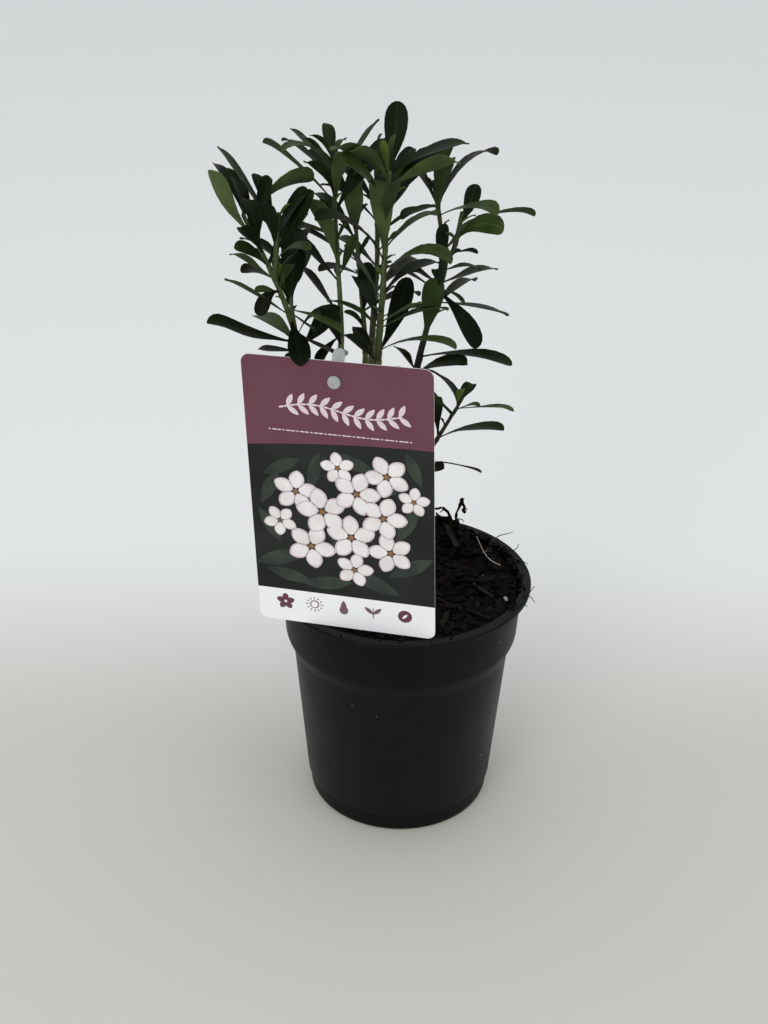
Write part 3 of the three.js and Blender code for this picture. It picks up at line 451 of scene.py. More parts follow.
@dataclass
class Leaf:
    """A leaf in its place: a row of the plan, rooted on a stem of a mass."""

    root: Vec
    row: Row
    mass: str
    share: float = 0.5  # how near the tip of its stem it stands

    @property
    def width(self) -> float:
        """The greatest width of the blade."""
        return self.row.length * SHAPE.slim * self.row.wide

    def frames(self, stations: Vec, hook: float = 0) -> tuple[Vec, Vec, Vec, Vec]:
        """The blade's arc, in the upright plane of its turn.

        Args:
            stations: shares of the length.
            hook: how far the last stretch turns down further, in radians.

        Returns:
            The centre, the way across, the way up from the face, and the half-width at each.
        """
        row = self.row
        s = np.asarray(stations, float)
        bend = math.radians(row.droop)
        first = math.radians(row.rise) + bend / 2
        now = first - bend * s
        heading = math.radians(row.turn)
        level = np.array([math.cos(heading), math.sin(heading), 0])
        side = np.array([-level[1], level[0], 0])
        up = np.array([0, 0, 1])
        out = row.length * (math.sin(first) - np.sin(now)) / bend
        rise = row.length * (np.cos(now) - math.cos(first)) / bend
        upper = np.outer(-np.sin(now), level) + np.outer(np.cos(now), up)
        centre = self.root + np.outer(out, level) + np.outer(rise, up)
        last = np.clip((s - 0.8) / 0.2, 0, 1)
        centre = centre - upper * (last**3 * 0.2 * row.length * hook / 3)[:, None]
        tilt = math.radians(row.roll)
        across = side * math.cos(tilt) + upper * math.sin(tilt)
        face = upper * math.cos(tilt) - side * math.sin(tilt)
        return centre, across, face, self.width / 2 * SHAPE.half(s)


@dataclass(frozen=True)
class Stem:
    """A shoot's main stem or one of its twigs, with its mass and the leaves that it is to bear."""

    key: str
    mass: str
    outline: tuple
    rule: Rule


@dataclass
class Space:
    """What a leaf, a stem or the card takes up: lines to test on others' faces, and faces."""

    owner: str
    lines: Vec
    faces: Vec
    low: Vec = field(init=False)
    high: Vec = field(init=False)

    def __post_init__(self) -> None:
        """Works out the box."""
        every = np.vstack([self.lines.reshape(-1, 3), self.faces.reshape(-1, 3)])
        self.low, self.high = every.min(0), every.max(0)


def passes(lines: Vec, faces: Vec) -> bool:
    """Does any line pass through any triangle?

    Args:
        lines: pairs of points.
        faces: triples of points.

    Returns:
        Whether one of them does.
    """
    start, along = lines[:, None, 0], (lines[:, 1] - lines[:, 0])[:, None]
    corner = faces[None, :, 0]
    ab, ac = faces[None, :, 1] - corner, faces[None, :, 2] - corner
    cross = np.cross(along, ac)
    scale = (ab * cross).sum(-1)
    solid = np.abs(scale) >= 1e-9
    scale = np.where(solid, scale, 1)
    off = start - corner
    turned = np.cross(off, ab)
    u = (off * cross).sum(-1) / scale
    v = (along * turned).sum(-1) / scale
    t = (ac * turned).sum(-1) / scale
    inside = (u >= 0) & (u <= 1) & (v >= 0) & (u + v <= 1) & (t >= 0) & (t <= 1)
    return bool((solid & inside).any())


@dataclass
class Growth:
    """Grows the plant's stems and leaves by its plan and rule, and keeps what has been placed."""

    golden: float = 137.5
    crowding: float = 1.7
    young: float = 0.2
    rise: tuple = (12, 60)
    young_rise: tuple = (62, 84)
    length: tuple = (38, 32)
    young_length: tuple = (24, 12)
    spread: float = 14
    rise_spread: float = 8
    roll_spread: float = 20
    length_range: tuple = (0.88, 1.08)
    tries: tuple = ((0, 0), (14, 6), (-14, 6), (28, -6), (-28, -6), (44, 10), (-44, 10))
    behind: float = 0.35  # how far back the rule's leaves point where the front has its own
    seeds: tuple = (101, 17)  # the first stem's, and what each further one adds
    kept_in: tuple = (0.3, 1, 13)  # the shares of a leaf that have to stay in its mass's room
    sleeve: float = 1.2
    sleeve_step: int = 4
    card_grid: tuple = (-1, -0.67, -0.33, 0, 0.33, 0.67, 1)
    fork: tuple = (-16, -1, 131)
    courses: dict[str, Course] = field(default_factory=dict)
    stems: list[Stem] = field(default_factory=list)
    leaves: list[Leaf] = field(default_factory=list)
    spaces: list[Space] = field(default_factory=list)

    def grow(self, card: Matrix, card_size: Vec) -> None:
        """Grows the stems, and then the leaves of the outline and of the rule.

        Args:
            card: the label card's place, in millimetres.
            card_size: its width, thickness and height.
        """
        self.grow_stems()
        for stem in self.stems:
            self.spaces.append(self.stem_space(stem.mass, self.courses[stem.key]))
        self.spaces.append(self.card_space(card, card_size))
        for stem in self.stems:
            for row in stem.outline:
                self.try_leaf(stem, row, confined=False)
        for k, stem in enumerate(self.stems):
            draws = ParkMiller(self.seeds[0] + self.seeds[1] * k)
            for i in range(stem.rule.count):
                row, share = self.rule_row(stem, i, draws)
                self.first_fit(stem, row, share)

    def grow_stems(self) -> None:
        """Runs every main stem from the fork or its parent, with its side twigs."""
        for name, shoot in SHOOTS.items():
            root = self.fork
            if shoot.parent:
                parent = self.courses[shoot.parent]
                root = parent.points[parent.nearest(shoot.at)]
            course = Course.through([root, *shoot.path], shoot.radii)
            self.courses[name] = course
            self.stems.append(Stem(name, name, shoot.outline, shoot.rule))
            for i, twig in enumerate(shoot.twigs):
                at = course.nearest(twig.start)
                key = f"{name}_twig_{i}"
                radii = (course.radii[at] * 0.9, shoot.radii[1])
                self.courses[key] = Course.through([course.points[at], *twig.path], radii)
                self.stems.append(Stem(key, name, twig.outline, twig.rule))

    def keys_of(self, mass: str) -> list[str]:
        """The stems of a mass, main stem first."""
        return [stem.key for stem in self.stems if stem.mass == mass]

    @staticmethod
    def ring_faces(rings: Vec) -> Vec:
        """The triangles of the sleeve through rings of points."""
        a, b = rings[:-1], rings[1:]
        a2, b2 = np.roll(a, -1, axis=1), np.roll(b, -1, axis=1)
        first = np.stack([a, a2, b2], axis=2)
        second = np.stack([a, b2, b], axis=2)
        return np.concatenate([first.reshape(-1, 3, 3), second.reshape(-1, 3, 3)])

    def stem_space(self, mass: str, course: Course) -> Space:
        """What a stem takes up, as its middle line and a square sleeve round it."""
        last = len(course.points) - 1
        kept = [i for i in range(last + 1) if i % self.sleeve_step == 0 or i == last]
        picks = course.part(np.array(kept))
        rings = []
        for k, point in enumerate(picks.points):
            a, b = picks.square(k)
            wide = self.sleeve * picks.radii[k] + SHAPE.clearance
            rings.append([point + a * wide, point + b * wide, point - a * wide, point - b * wide])
        lines = np.stack([picks.points[:-1], picks.points[1:]], axis=1)
        return Space(mass + "_stem", lines, self.ring_faces(np.array(rings)))

    def card_space(self, card: Matrix, size: Vec, margin: float = 1) -> Space:
        """What the label card takes up: a grid of lines on it and a face on each side of it."""
        w, h = size[0] / 2, size[2] / 2
        depth = size[1] / 2 + 2 * SHAPE.clearance

        def spot(x: float, y: float, z: float) -> Vec:
            """A point of the card's own frame in the plant's."""
            return np.array(card @ Vector((x, y, z)))

        lines, faces = [], []
        for share in self.card_grid:
            lines.append([spot(share * w, 0, -h), spot(share * w, 0, h)])
            lines.append([spot(-w, 0, share * h), spot(w, 0, share * h)])
        wide, top = w + margin, h + margin
        for y in (-depth, depth):
            a, b, c, d = (
                spot(-wide, y, -h), spot(wide, y, -h), spot(wide, y, top), spot(-wide, y, top),
            )
            faces += [[a, b, c], [a, c, d]]
        return Space("card", np.array(lines), np.array(faces))

    @staticmethod
    def leaf_space(leaf: Leaf) -> Space:
        """What a leaf takes up: lines over its blade, and a face above and below it."""
        centre, across, face, half = leaf.frames(np.array(SHAPE.clear_at))
        sides = np.array([-1, 0, 1])

        def sheet(grow: float, lift: float) -> Vec:
            """Three points across each station, the outer ones raised by the fold."""
            wide = sides * (half + grow)[:, None]
            height = lift + SHAPE.fold * np.abs(wide)
            flat = centre[:, None] + across[:, None] * wide[..., None]
            return flat + face[:, None] * height[..., None]

        rows = sheet(0, 0)
        lines = np.concatenate([
            np.stack([rows[:, :-1], rows[:, 1:]], axis=2).reshape(-1, 2, 3),
            np.stack([rows[:-1], rows[1:]], axis=2).reshape(-1, 2, 3),
        ])
        faces = []
        for lift in (-SHAPE.clearance, SHAPE.clearance):
            grown = sheet(SHAPE.clearance, lift)
            a, b = grown[:-1, :-1], grown[:-1, 1:]
            c, d = grown[1:, 1:], grown[1:, :-1]
            faces += [np.stack([a, b, c], axis=2).reshape(-1, 3, 3),
                      np.stack([a, c, d], axis=2).reshape(-1, 3, 3)]
        return Space(leaf.mass, lines, np.concatenate(faces))

    def is_clear(self, mine: Space, fused: Iterable[str]) -> bool:
        """Whether a space is clear of all that has been placed, but for what it is fused to."""
        near = [
            other for other in self.spaces
            if other.owner not in fused
            and (mine.low <= other.high).all() and (other.low <= mine.high).all()
        ]
        if not near:
            return True
        faces = np.concatenate([other.faces for other in near])
        lines = np.concatenate([other.lines for other in near])
        return not (passes(mine.lines, faces) or passes(lines, mine.faces))

    def try_leaf(self, stem: Stem, row: Row, confined: bool, share: float = 0.5) -> bool:
        """Places a leaf where nothing is in its way.

        Args:
            stem: the stem that bears it.
            row: the leaf.
            confined: whether it has to stay in its mass's room, clear of its other leaves and
                of the open places.
            share: how near the stem's tip it stands.

        Returns:
            Whether it was placed.
        """
        course, mass = self.courses[stem.key], stem.mass
        leaf = Leaf(course.points[course.nearest(row.height)], row, mass, share)
        if confined:
            low, high = SHOOTS[mass].room
            centre, across, _, half = leaf.frames(np.linspace(*self.kept_in))
            side = across * half[:, None]
            if (centre < low).any() or (centre > high).any():
                return False
            if shut(np.vstack([centre, centre + side, centre - side])):
                return False
        mine = self.leaf_space(leaf)
        fused = {mass + "_stem"} if confined else {mass + "_stem", mass}
        if not self.is_clear(mine, fused):
            return False
        self.leaves.append(leaf)
        self.spaces.append(mine)
        return True

    def first_fit(self, stem: Stem, row: Row, share: float) -> None:
        """Places a leaf of the rule by the first of its tries that is free."""
        for more, up in self.tries:
            turned = Row(row.height, row.turn + more, row.rise + up, row.length, roll=row.roll)
            if stem.outline and math.sin(math.radians(turned.turn)) < self.behind:
                continue
            if self.try_leaf(stem, turned, confined=True, share=share):
                return

    def rule_row(self, stem: Stem, i: int, draws: ParkMiller) -> tuple[Row, float]:
        """The rule's leaf number i, and how near the tip it stands.

        Args:
            stem: the stem that bears it.
            i: the leaf's number, from the foot.
            draws: the stem's generator.

        Returns:
            The leaf as a row, and its share of the way up.
        """
        rule = stem.rule
        share = i / (rule.count - 1)
        tip = self.courses[stem.key].points[-1][2]
        height = mix(rule.start, tip, 1 - (1 - share) ** self.crowding)
        swing = draws.swing(self.spread)
        young = (share - (1 - self.young)) / self.young
        rise, length = mix(*self.young_rise, young), mix(*self.young_length, young)
        if young < 0:
            rise = mix(*self.rise, share) + draws.swing(self.rise_spread)
            length = mix(*self.length, share) * mix(*self.length_range, draws.draw())
        roll = draws.swing(self.roll_spread)
        return Row(height, rule.turn + i * self.golden + swing, rise, length, roll=roll), share


# ---------------------------------------------------------------- shader helpers


def linear(colour: Colour) -> tuple[float, float, float, float]:
    """A display colour, 0 to 255, as the linear values that shaders take."""
    shares = [c / 255 for c in colour]
    return (*(s / 12.92 if s <= 0.04045 else ((s + 0.055) / 1.055) ** 2.4 for s in shares), 1.0)


def group_tree(name: str, inputs: dict[str, float], outputs: Sequence[str]) -> NodeTree:
    """A new shader node group that reads a position and some numbers and puts out masks.

    Args:
        name: the group's name.
        inputs: its number inputs, with their usual values. Vector is added before them.
        outputs: its number outputs.

    Returns:
        The group, holding only its input and output nodes.
    """
    tree = bpy.data.node_groups.new(name, "ShaderNodeTree")
    tree.interface.new_socket("Vector", in_out="INPUT", socket_type="NodeSocketVector")
    for key, value in inputs.items():
        socket = tree.interface.new_socket(key, in_out="INPUT", socket_type="NodeSocketFloat")
        socket.default_value = value
    for key in outputs:
        tree.interface.new_socket(key, in_out="OUTPUT", socket_type="NodeSocketFloat")
    tree.nodes.new("NodeGroupInput").name = "in"
    tree.nodes.new("NodeGroupOutput").name = "out"
    return tree


def add_node(tree: NodeTree, kind: str, inputs: dict, **settings: object) -> Node:
    """Adds a node with its settings, and fills or links its inputs.

    Args:
        tree: where it goes.
        kind: the node's type, without its ShaderNode prefix.
        inputs: values or sockets, by the input's name or number.
        settings: the node's own properties.

    Returns:
        The node.
    """
    node = tree.nodes.new("ShaderNode" + kind)
    for key, value in settings.items():
        setattr(node, key, value)
    for key, value in inputs.items():
        if isinstance(value, NodeSocket):
            tree.links.new(value, node.inputs[key])
        else:
            node.inputs[key].default_value = value
    return node


def mottle_group() -> NodeTree:
    """Soft uneven patches: a noise, spread to fill the range from 0 to 1."""
    tree = group_tree("soft_mottle", {"Scale": 200, "Detail": 3, "Contrast": 0.2}, ["Mask"])
    given = tree.nodes["in"].outputs
    cloud = add_node(tree, "TexNoise", {
        "Vector": given["Vector"], "Scale": given["Scale"], "Detail": given["Detail"],
    })
    low = add_node(tree, "Math", {0: 0.5, 1: given["Contrast"]}, operation="SUBTRACT")
    high = add_node(tree, "Math", {0: 0.5, 1: given["Contrast"]}, operation="ADD")
    spread = add_node(tree, "MapRange", {
        "Value": cloud.outputs["Fac"], "From Min": low.outputs[0], "From Max": high.outputs[0],
    }, clamp=True)
    tree.links.new(spread.outputs["Result"], tree.nodes["out"].inputs["Mask"])
    return tree


def speck_group() -> NodeTree:
    """Small scattered specks: a few cells of a Voronoi pattern, near their middles."""
    tree = group_tree("small_specks", {"Scale": 600, "Size": 0.2, "Share": 0.1}, ["Mask"])
    given = tree.nodes["in"].outputs
    cells = add_node(tree, "TexVoronoi", {
        "Vector": given["Vector"], "Scale": given["Scale"], "Randomness": 1.0,
    })
    near = add_node(tree, "Math", {0: cells.outputs["Distance"], 1: given["Size"]},
                    operation="LESS_THAN")
    split = add_node(tree, "SeparateColor", {"Color": cells.outputs["Color"]})
    few = add_node(tree, "Math", {0: split.outputs["Red"], 1: given["Share"]},
                   operation="LESS_THAN")
    both = add_node(tree, "Math", {0: near.outputs[0], 1: few.outputs[0]}, operation="MULTIPLY")
    tree.links.new(both.outputs[0], tree.nodes["out"].inputs["Mask"])
    return tree


class Surface:
    """A material while it is made: its Principled shader, and short ways to add to it."""

    groups: dict[str, NodeTree] = {}

    def __init__(self, name: str, colour: Colour, roughness: float, **sockets: float) -> None:
        """Starts a plain material.

        Args:
            name: the material's name.
            colour: its display colour.
            roughness: its roughness.
            sockets: other values of the shader, with _ for a space in the socket's name.
        """
        self.material = bpy.data.materials.new(name)
        self.material.use_nodes = True
        self.tree = self.material.node_tree
        self.shader = self.tree.nodes["Principled BSDF"]
        self.shader.inputs["Base Color"].default_value = linear(colour)
        self.shader.inputs["Roughness"].default_value = roughness
        for key, value in sockets.items():
            self.shader.inputs[key.replace("_", " ")].default_value = value
        self.material.diffuse_color = linear(colour)

    def add(self, kind: str, inputs: dict, **settings: object) -> Node:
        """Adds a node to the material."""
        return add_node(self.tree, kind, inputs, **settings)

    def position(self, stretch: tuple = (1, 1, 1)) -> NodeSocket:
        """Object coordinates, squeezed or stretched along the axes."""
        where = self.add("TexCoord", {}).outputs["Object"]
        if stretch == (1, 1, 1):
            return where
        return self.add("Mapping", {"Vector": where, "Scale": stretch}).outputs["Vector"]

    def along_blade(self, stretch: tuple) -> NodeSocket:
        """The piece's own UV map, stretched: U across a blade and V along it."""
        where = self.add("UVMap", {}, uv_map="UVMap").outputs["UV"]
        return self.add("Mapping", {"Vector": where, "Scale": stretch}).outputs["Vector"]

    def mask(self, name: str, where: NodeSocket, **values: float) -> NodeSocket:
        """A mask from one of the shared groups, soft_mottle or small_specks."""
        makers = {"soft_mottle": mottle_group, "small_specks": speck_group}
        if name not in Surface.groups:
            Surface.groups[name] = makers[name]()
        node = self.tree.nodes.new("ShaderNodeGroup")
        node.node_tree = Surface.groups[name]
        self.tree.links.new(where, node.inputs["Vector"])
        for key, value in values.items():
            node.inputs[key].default_value = value
        return node.outputs["Mask"]

    def mottle(
        self, where: NodeSocket, scale: float, contrast: float, detail: float = 3
    ) -> NodeSocket:
        """A mask of soft uneven patches."""
        return self.mask("soft_mottle", where, Scale=scale, Contrast=contrast, Detail=detail)

    def blend(self, mask: NodeSocket, a: NodeSocket | Colour, b: NodeSocket | Colour) -> NodeSocket:
        """Mixes two colours, or colour sockets, by a mask."""
        node = self.add("Mix", {0: mask}, data_type="RGBA")
        for key, value in ((6, a), (7, b)):
            if isinstance(value, NodeSocket):
                self.tree.links.new(value, node.inputs[key])
            else:
                node.inputs[key].default_value = linear(value)
        return node.outputs[2]

    def between(self, mask: NodeSocket, low: float, high: float) -> NodeSocket:
        """A number from low to high, by a mask."""
        node = self.add("MapRange", {"Value": mask, "To Min": low, "To Max": high})
        return node.outputs["Result"]

    def drive(self, socket: str, source: NodeSocket) -> None:
        """Feeds one of the shader's sockets."""
        self.tree.links.new(source, self.shader.inputs[socket])

    def bump(self, height: NodeSocket, strength: float, depth: float) -> None:
        """Feeds the shader's normal from a height, with the relief's depth in millimetres."""
        values = {"Height": height, "Strength": strength, "Distance": depth * MM}
        self.drive("Normal", self.add("Bump", values).outputs["Normal"])


# ---------------------------------------------------------------- finishes


@dataclass(frozen=True)
class PlasticFinish:
    """Moulded pot plastic, a little scuffed and dusty."""

    name: str
    colour: Colour
    scuffed: Colour
    dust: Colour
    roughness: tuple[float, float] = (0.36, 0.5)

    def build(self) -> Material:
        """Makes the material."""
        it = Surface(self.name, self.colour, self.roughness[0], Specular_IOR_Level=0.08)
        where = it.position()
        patches = it.mottle(where, 26, 0.22, 4)
        drawn = it.mottle(it.position((1, 1, 0.12)), 320, 0.3)
        specks = it.mask("small_specks", where, Scale=170, Size=0.11, Share=0.05)
        worn = it.blend(patches, self.colour, self.scuffed)
        it.drive("Base Color", it.blend(specks, worn, self.dust))
        it.drive("Roughness", it.between(patches, *self.roughness))
        it.bump(drawn, 0.12, 0.1)
        return it.material


@dataclass(frozen=True)
class CrumbFinish:
    """Compost, bark chips and fibres: two close colours in small patches, quite matt."""

    name: str
    colour: Colour
    other: Colour
    scale: float = 420
    relief: float = 0.5

    def build(self) -> Material:
        """Makes the material."""
        it = Surface(self.name, self.colour, 0.9, Specular_IOR_Level=0.1)
        where = it.position()
        patches = it.mottle(where, self.scale, 0.16, 5)
        grain = it.mottle(where, self.scale * 4, 0.3)
        it.drive("Base Color", it.blend(patches, self.colour, self.other))
        it.drive("Roughness", it.between(grain, 0.75, 0.98))
        it.bump(grain, 0.6, self.relief)
        return it.material


@dataclass(frozen=True)
class BarkFinish:
    """A stem's skin: brown and corky at the foot, and green higher up."""

    name: str
    brown: Colour
    dark: Colour
    green: Colour
    turns: tuple[float, float]  # the heights between which it turns green, in millimetres

    def build(self) -> Material:
        """Makes the material."""
        it = Surface(self.name, self.brown, 0.7, Specular_IOR_Level=0.35)
        where = it.position()
        height = it.add("SeparateXYZ", {"Vector": where}).outputs["Z"]
        wander = it.mottle(where, 90, 0.2)
        shifted = it.add("Math", {0: wander, 1: 0.02, 2: height}, operation="MULTIPLY_ADD")
        low, high = (z * MM for z in self.turns)
        climb = it.add("MapRange", {"Value": shifted.outputs[0], "From Min": low,
                                    "From Max": high}, interpolation_type="SMOOTHSTEP")
        streaks = it.mottle(it.position((1, 1, 0.25)), 900, 0.2)
        brown = it.blend(streaks, self.brown, self.dark)
        pale = tuple(int(c * 0.78) for c in self.green)
        green = it.blend(streaks, self.green, pale)
        it.drive("Base Color", it.blend(climb.outputs["Result"], brown, green))
        it.drive("Roughness", it.between(streaks, 0.55, 0.75))
        it.bump(streaks, 0.5, 0.25)
        return it.material


@dataclass(frozen=True)
class LeafFinish:
    """One face of a leaf: a close mottle of its own colour, with fine veins running along it."""

    name: str
    colour: Colour
    roughness: float
    veins: float = 0.25

    def build(self) -> Material:
        """Makes the material."""
        it = Surface(self.name, self.colour, self.roughness, Specular_IOR_Level=0.05)
        where = it.position()
        patches = it.mottle(where, 70, 0.22, 2)
        veins = it.mottle(it.along_blade((14, 2.2, 1)), 1.4, 0.2)
        darker = tuple(int(c * 0.8) for c in self.colour)
        lighter = tuple(min(255, int(c * 1.16)) for c in self.colour)
        it.drive("Base Color", it.blend(patches, darker, lighter))
        it.drive("Roughness", it.between(patches, self.roughness - 0.05, self.roughness + 0.08))
        it.bump(veins, self.veins, 0.2)
        return it.material


@dataclass(frozen=True)
class PrintFinish:
    """A plain printed colour on the laminated card, with a faint cloud in it."""

    name: str
    colour: Colour
    cloud: Colour
    roughness: float = 0.34
    scale: float = 18

    def build(self) -> Material:
        """Makes the material."""
        it = Surface(self.name, self.colour, self.roughness, Specular_IOR_Level=0.25)
        where = it.position()
        patches = it.mottle(where, self.scale, 0.16, 2)
        fine = it.mottle(where, 1500, 0.3, 1)
        it.drive("Base Color", it.blend(patches, self.colour, self.cloud))
        it.drive("Roughness", it.between(fine, self.roughness - 0.03, self.roughness + 0.05))
        it.bump(fine, 0.04, 0.05)
        return it.material


@dataclass(frozen=True)
class ClearFinish:
    """Milky clear plastic, for the tie."""

    name: str
    colour: Colour

    def build(self) -> Material:
        """Makes the material."""
        it = Surface(self.name, self.colour, 0.3, Transmission_Weight=0.35, IOR=1.46)
        patches = it.mottle(it.position(), 300, 0.2, 2)
        paler = tuple(min(255, c + 14) for c in self.colour)
        it.drive("Base Color", it.blend(patches, self.colour, paler))
        it.drive("Roughness", it.between(patches, 0.24, 0.4))
        it.bump(patches, 0.1, 0.1)
        return it.material


# ---------------------------------------------------------------- mesh helpers


def finished(name: str, bm: BMesh) -> Mesh:
    """The mesh of a finished form, which is freed."""
    mesh = bpy.data.meshes.new(name)
    bm.to_mesh(mesh)
    bm.free()
    return mesh


def add_object(name: str, data: ID) -> Object:
    """Puts a mesh, a lamp or a camera into the scene."""
    made = bpy.data.objects.new(name, data)
    bpy.context.scene.collection.objects.link(made)
    return made


def join(into: BMesh, part: BMesh) -> None:
    """Adds a finished part to a piece, and frees the part."""
    mesh = finished("part", part)
    into.from_mesh(mesh)
    bpy.data.meshes.remove(mesh)


def piece(
    name: str, bm: BMesh, materials: Sequence[Material],
    replaced: Iterable[str] = (), smooth_faces: bool = True,
) -> Object:
    """Makes an object of a mesh in millimetres, and joins it to the frame.

    Args:
        name: the piece's name.
        bm: its mesh, which is freed.
        materials: the materials that its faces number.
        replaced: the CAD nodes that it stands for.
        smooth_faces: whether its faces are shaded smooth.

    Returns:
        The object.
    """
    bmesh.ops.scale(bm, vec=(MM, MM, MM), verts=bm.verts)
    for face in bm.faces:
        face.smooth = smooth_faces
    mesh = finished(name, bm)
    made = add_object(name, mesh)
    for material in materials:
        mesh.materials.append(material)
    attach(made, BODY)
    if replaced:
        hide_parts(*replaced)
    LOG.info("%s: %d faces", name, len(mesh.polygons))
    return made


def rounded(target: Object, width: float, segments: int = 2, angle: float = 35) -> None:
    """Rounds a piece's sharp edges, by a width in millimetres."""
    bevel = target.modifiers.new("rounded_edges", "BEVEL")
    bevel.width = width * MM
    bevel.segments = segments
    bevel.limit_method = "ANGLE"
    bevel.angle_limit = math.radians(angle)
    bevel.harden_normals = True


def limb(
    course: Course, sides: int, step: float, relief: Callable | None = None
) -> BMesh:
    """A closed tapering limb: a drum with rings cut in it, bent onto a course.

    Args:
        course: the limb's line and radii.
        sides: how many sides it has.
        step: about how far apart its rings are, in millimetres.
        relief: how far its skin stands out, given a ring's place on the course and an angle.

    Returns:
        The limb's own mesh.
    """
    last = len(course.points) - 1
    rings = max(1, min(last, round(last / step)))
    bm = bmesh.new()
    bmesh.ops.create_cone(bm, cap_ends=True, segments=sides, radius1=1, radius2=1, depth=1)
    long = [e for e in bm.edges if abs(e.verts[0].co.z - e.verts[1].co.z) > 0.5]
    if rings > 1:
        bmesh.ops.subdivide_edges(bm, edges=long, cuts=rings - 1, use_grid_fill=True)
    for vert in bm.verts:
        k = round((vert.co.z + 0.5) * rings)
        i = round(k * last / rings)
        angle = math.atan2(vert.co.y, vert.co.x)
        a, b = course.square(i)
        radius = course.radii[i] + (relief(i, angle) if relief else 0)
        at = course.points[i] + radius * (a * math.cos(angle) + b * math.sin(angle))
        vert.co = at
    return bm


def spin(bm: BMesh, steps: int) -> None:
    """Spins a whole mesh once about Z, and welds it where it closes."""
    bmesh.ops.spin(bm, geom=bm.verts[:] + bm.edges[:], cent=(0, 0, 0), axis=(0, 0, 1),
                   angle=math.tau, steps=steps, use_merge=True)
    bmesh.ops.remove_doubles(bm, verts=bm.verts, dist=WELD)


def spun(profile: Iterable[tuple[float, float]], steps: int) -> BMesh:
    """A mesh spun about Z from a profile of radii and heights."""
    bm = bmesh.new()
    verts = [bm.verts.new((r, 0, z)) for r, z in profile]
    for pair in zip(verts, verts[1:]):
        bm.edges.new(pair)
    spin(bm, steps)
    return bm


def paint(verts: Iterable[BMVert], number: int) -> None:
    """Gives every face at some vertices the material of a number."""
    for face in {face for vert in verts for face in vert.link_faces}:
        face.material_index = number


def disc_cut(bm: BMesh, at: tuple, radius: float, segments: int) -> list:
    """The edges of a new circle, flat in XY.

    Args:
        bm: the mesh it goes into.
        at: its middle.
        radius: its radius.
        segments: how many edges it has.

    Returns:
        The edges.
    """
    made = bmesh.ops.create_circle(
        bm, cap_ends=False, segments=segments, radius=radius, matrix=Matrix.Translation(at)
    )
    return list({edge for vert in made["verts"] for edge in vert.link_edges})


# ---------------------------------------------------------------- pot and compost


@dataclass
class NurseryPot:
    """A round moulded pot: a tapered body, a wider collar under a flat lip, and a drained floor."""

    height: float = 122.4
    lip_radius: float = 63.8
    lip_thickness: float = 2.4
    lip_edge: float = 0.5
    rounding: float = 0.35
    collar_top: float = 59.5
    collar_bottom: tuple = (57.9, 95.8)
    shoulder: tuple = ((57.6, 94.2), (56.8, 92), (55, 88))
    body_top: tuple = (54, 85.2)
    body_bottom: float = 47.6
    seam: float = 10.8
    seam_step: float = 1
    foot: float = 44.3
    wall: float = 1.2
    floor: float = 1.6
    drains: int = 8
    drain_radius: float = 3.5
    drain_circle: float = 35
    drain_sides: int = 24
    sides: int = 144
    finish: PlasticFinish = PlasticFinish(
        "pot_plastic", (10, 12, 13), (17, 19, 20), (112, 114, 110)
    )

    def outside(self) -> list[tuple[float, float]]:
        """Radius and height of the outer wall, from the foot to the lip."""
        step = self.body_bottom - self.seam_step
        return [
            (self.foot, 0), (self.foot + 0.9, 0.35), (self.foot + 1.3, 1),
            (self.foot + 1.7, 2), (step - 0.4, 3.4), (step, self.seam - 0.9),
            (self.body_bottom - 0.25, self.seam - 0.3), (self.body_bottom, self.seam + 0.2),
            self.body_top, *reversed(self.shoulder), self.collar_bottom,
            (self.collar_top, self.height - self.lip_thickness),
        ]

    def inside(self) -> list[tuple[float, float]]:
        """Radius and height of the inner wall, from the floor to the lip."""
        walls = [self.body_top, self.shoulder[2], self.collar_bottom]
        top = (self.collar_top - self.wall, self.height - self.lip_thickness)
        return [(self.foot + 0.1, self.floor), (self.body_bottom - 2.2, self.seam - 0.6),
                *((r - self.wall, z) for r, z in walls), top]

    def inner_radius(self, height: float) -> float:
        """Radius of the inside at a height."""
        radii, heights = zip(*self.inside())
        return float(np.interp(height, heights, radii))

    def wall_mesh(self) -> BMesh:
        """The wall and its lip, spun from their profile."""
        edge = self.lip_edge
        lip = [
            (self.lip_radius - edge, self.height - self.lip_thickness),
            (self.lip_radius, self.height - self.lip_thickness + edge),
            (self.lip_radius, self.height - edge), (self.lip_radius - edge, self.height),
            (self.collar_top - self.wall + edge, self.height),
        ]
        return spun([*self.outside(), *lip, *reversed(self.inside())], self.sides)

    def add_floor(self, bm: BMesh) -> None:
        """Closes the wall with a floor that has a ring of drain holes."""
        loops = {}
        rings = [e for e in bm.edges if e.is_boundary]
        for z in (0, self.floor):
            loops[z] = [e for e in rings if abs(e.verts[0].co.z - z) < 0.01]
        cuts = []
        for i in range(self.drains):
            angle = math.tau * (i + 0.5) / self.drains
            x, y = polar(self.drain_circle, angle)
            pair = [
                disc_cut(bm, (x, y, z), self.drain_radius, self.drain_sides)
                for z in (0, self.floor)
            ]
            loops[0] += pair[0]
            loops[self.floor] += pair[1]
            cuts.append(pair[0] + pair[1])
        for loop in loops.values():
            bmesh.ops.triangle_fill(bm, use_beauty=True, edges=loop)
        for pair in cuts:
            bmesh.ops.bridge_loops(bm, edges=pair)
        bmesh.ops.recalc_face_normals(bm, faces=bm.faces)

    def build(self) -> Object:
        """Makes the pot."""
        bm = self.wall_mesh()
        self.add_floor(bm)
        made = piece("pot_shell", bm, [self.finish.build()], ["pot"])
        rounded(made, self.rounding)
        return made


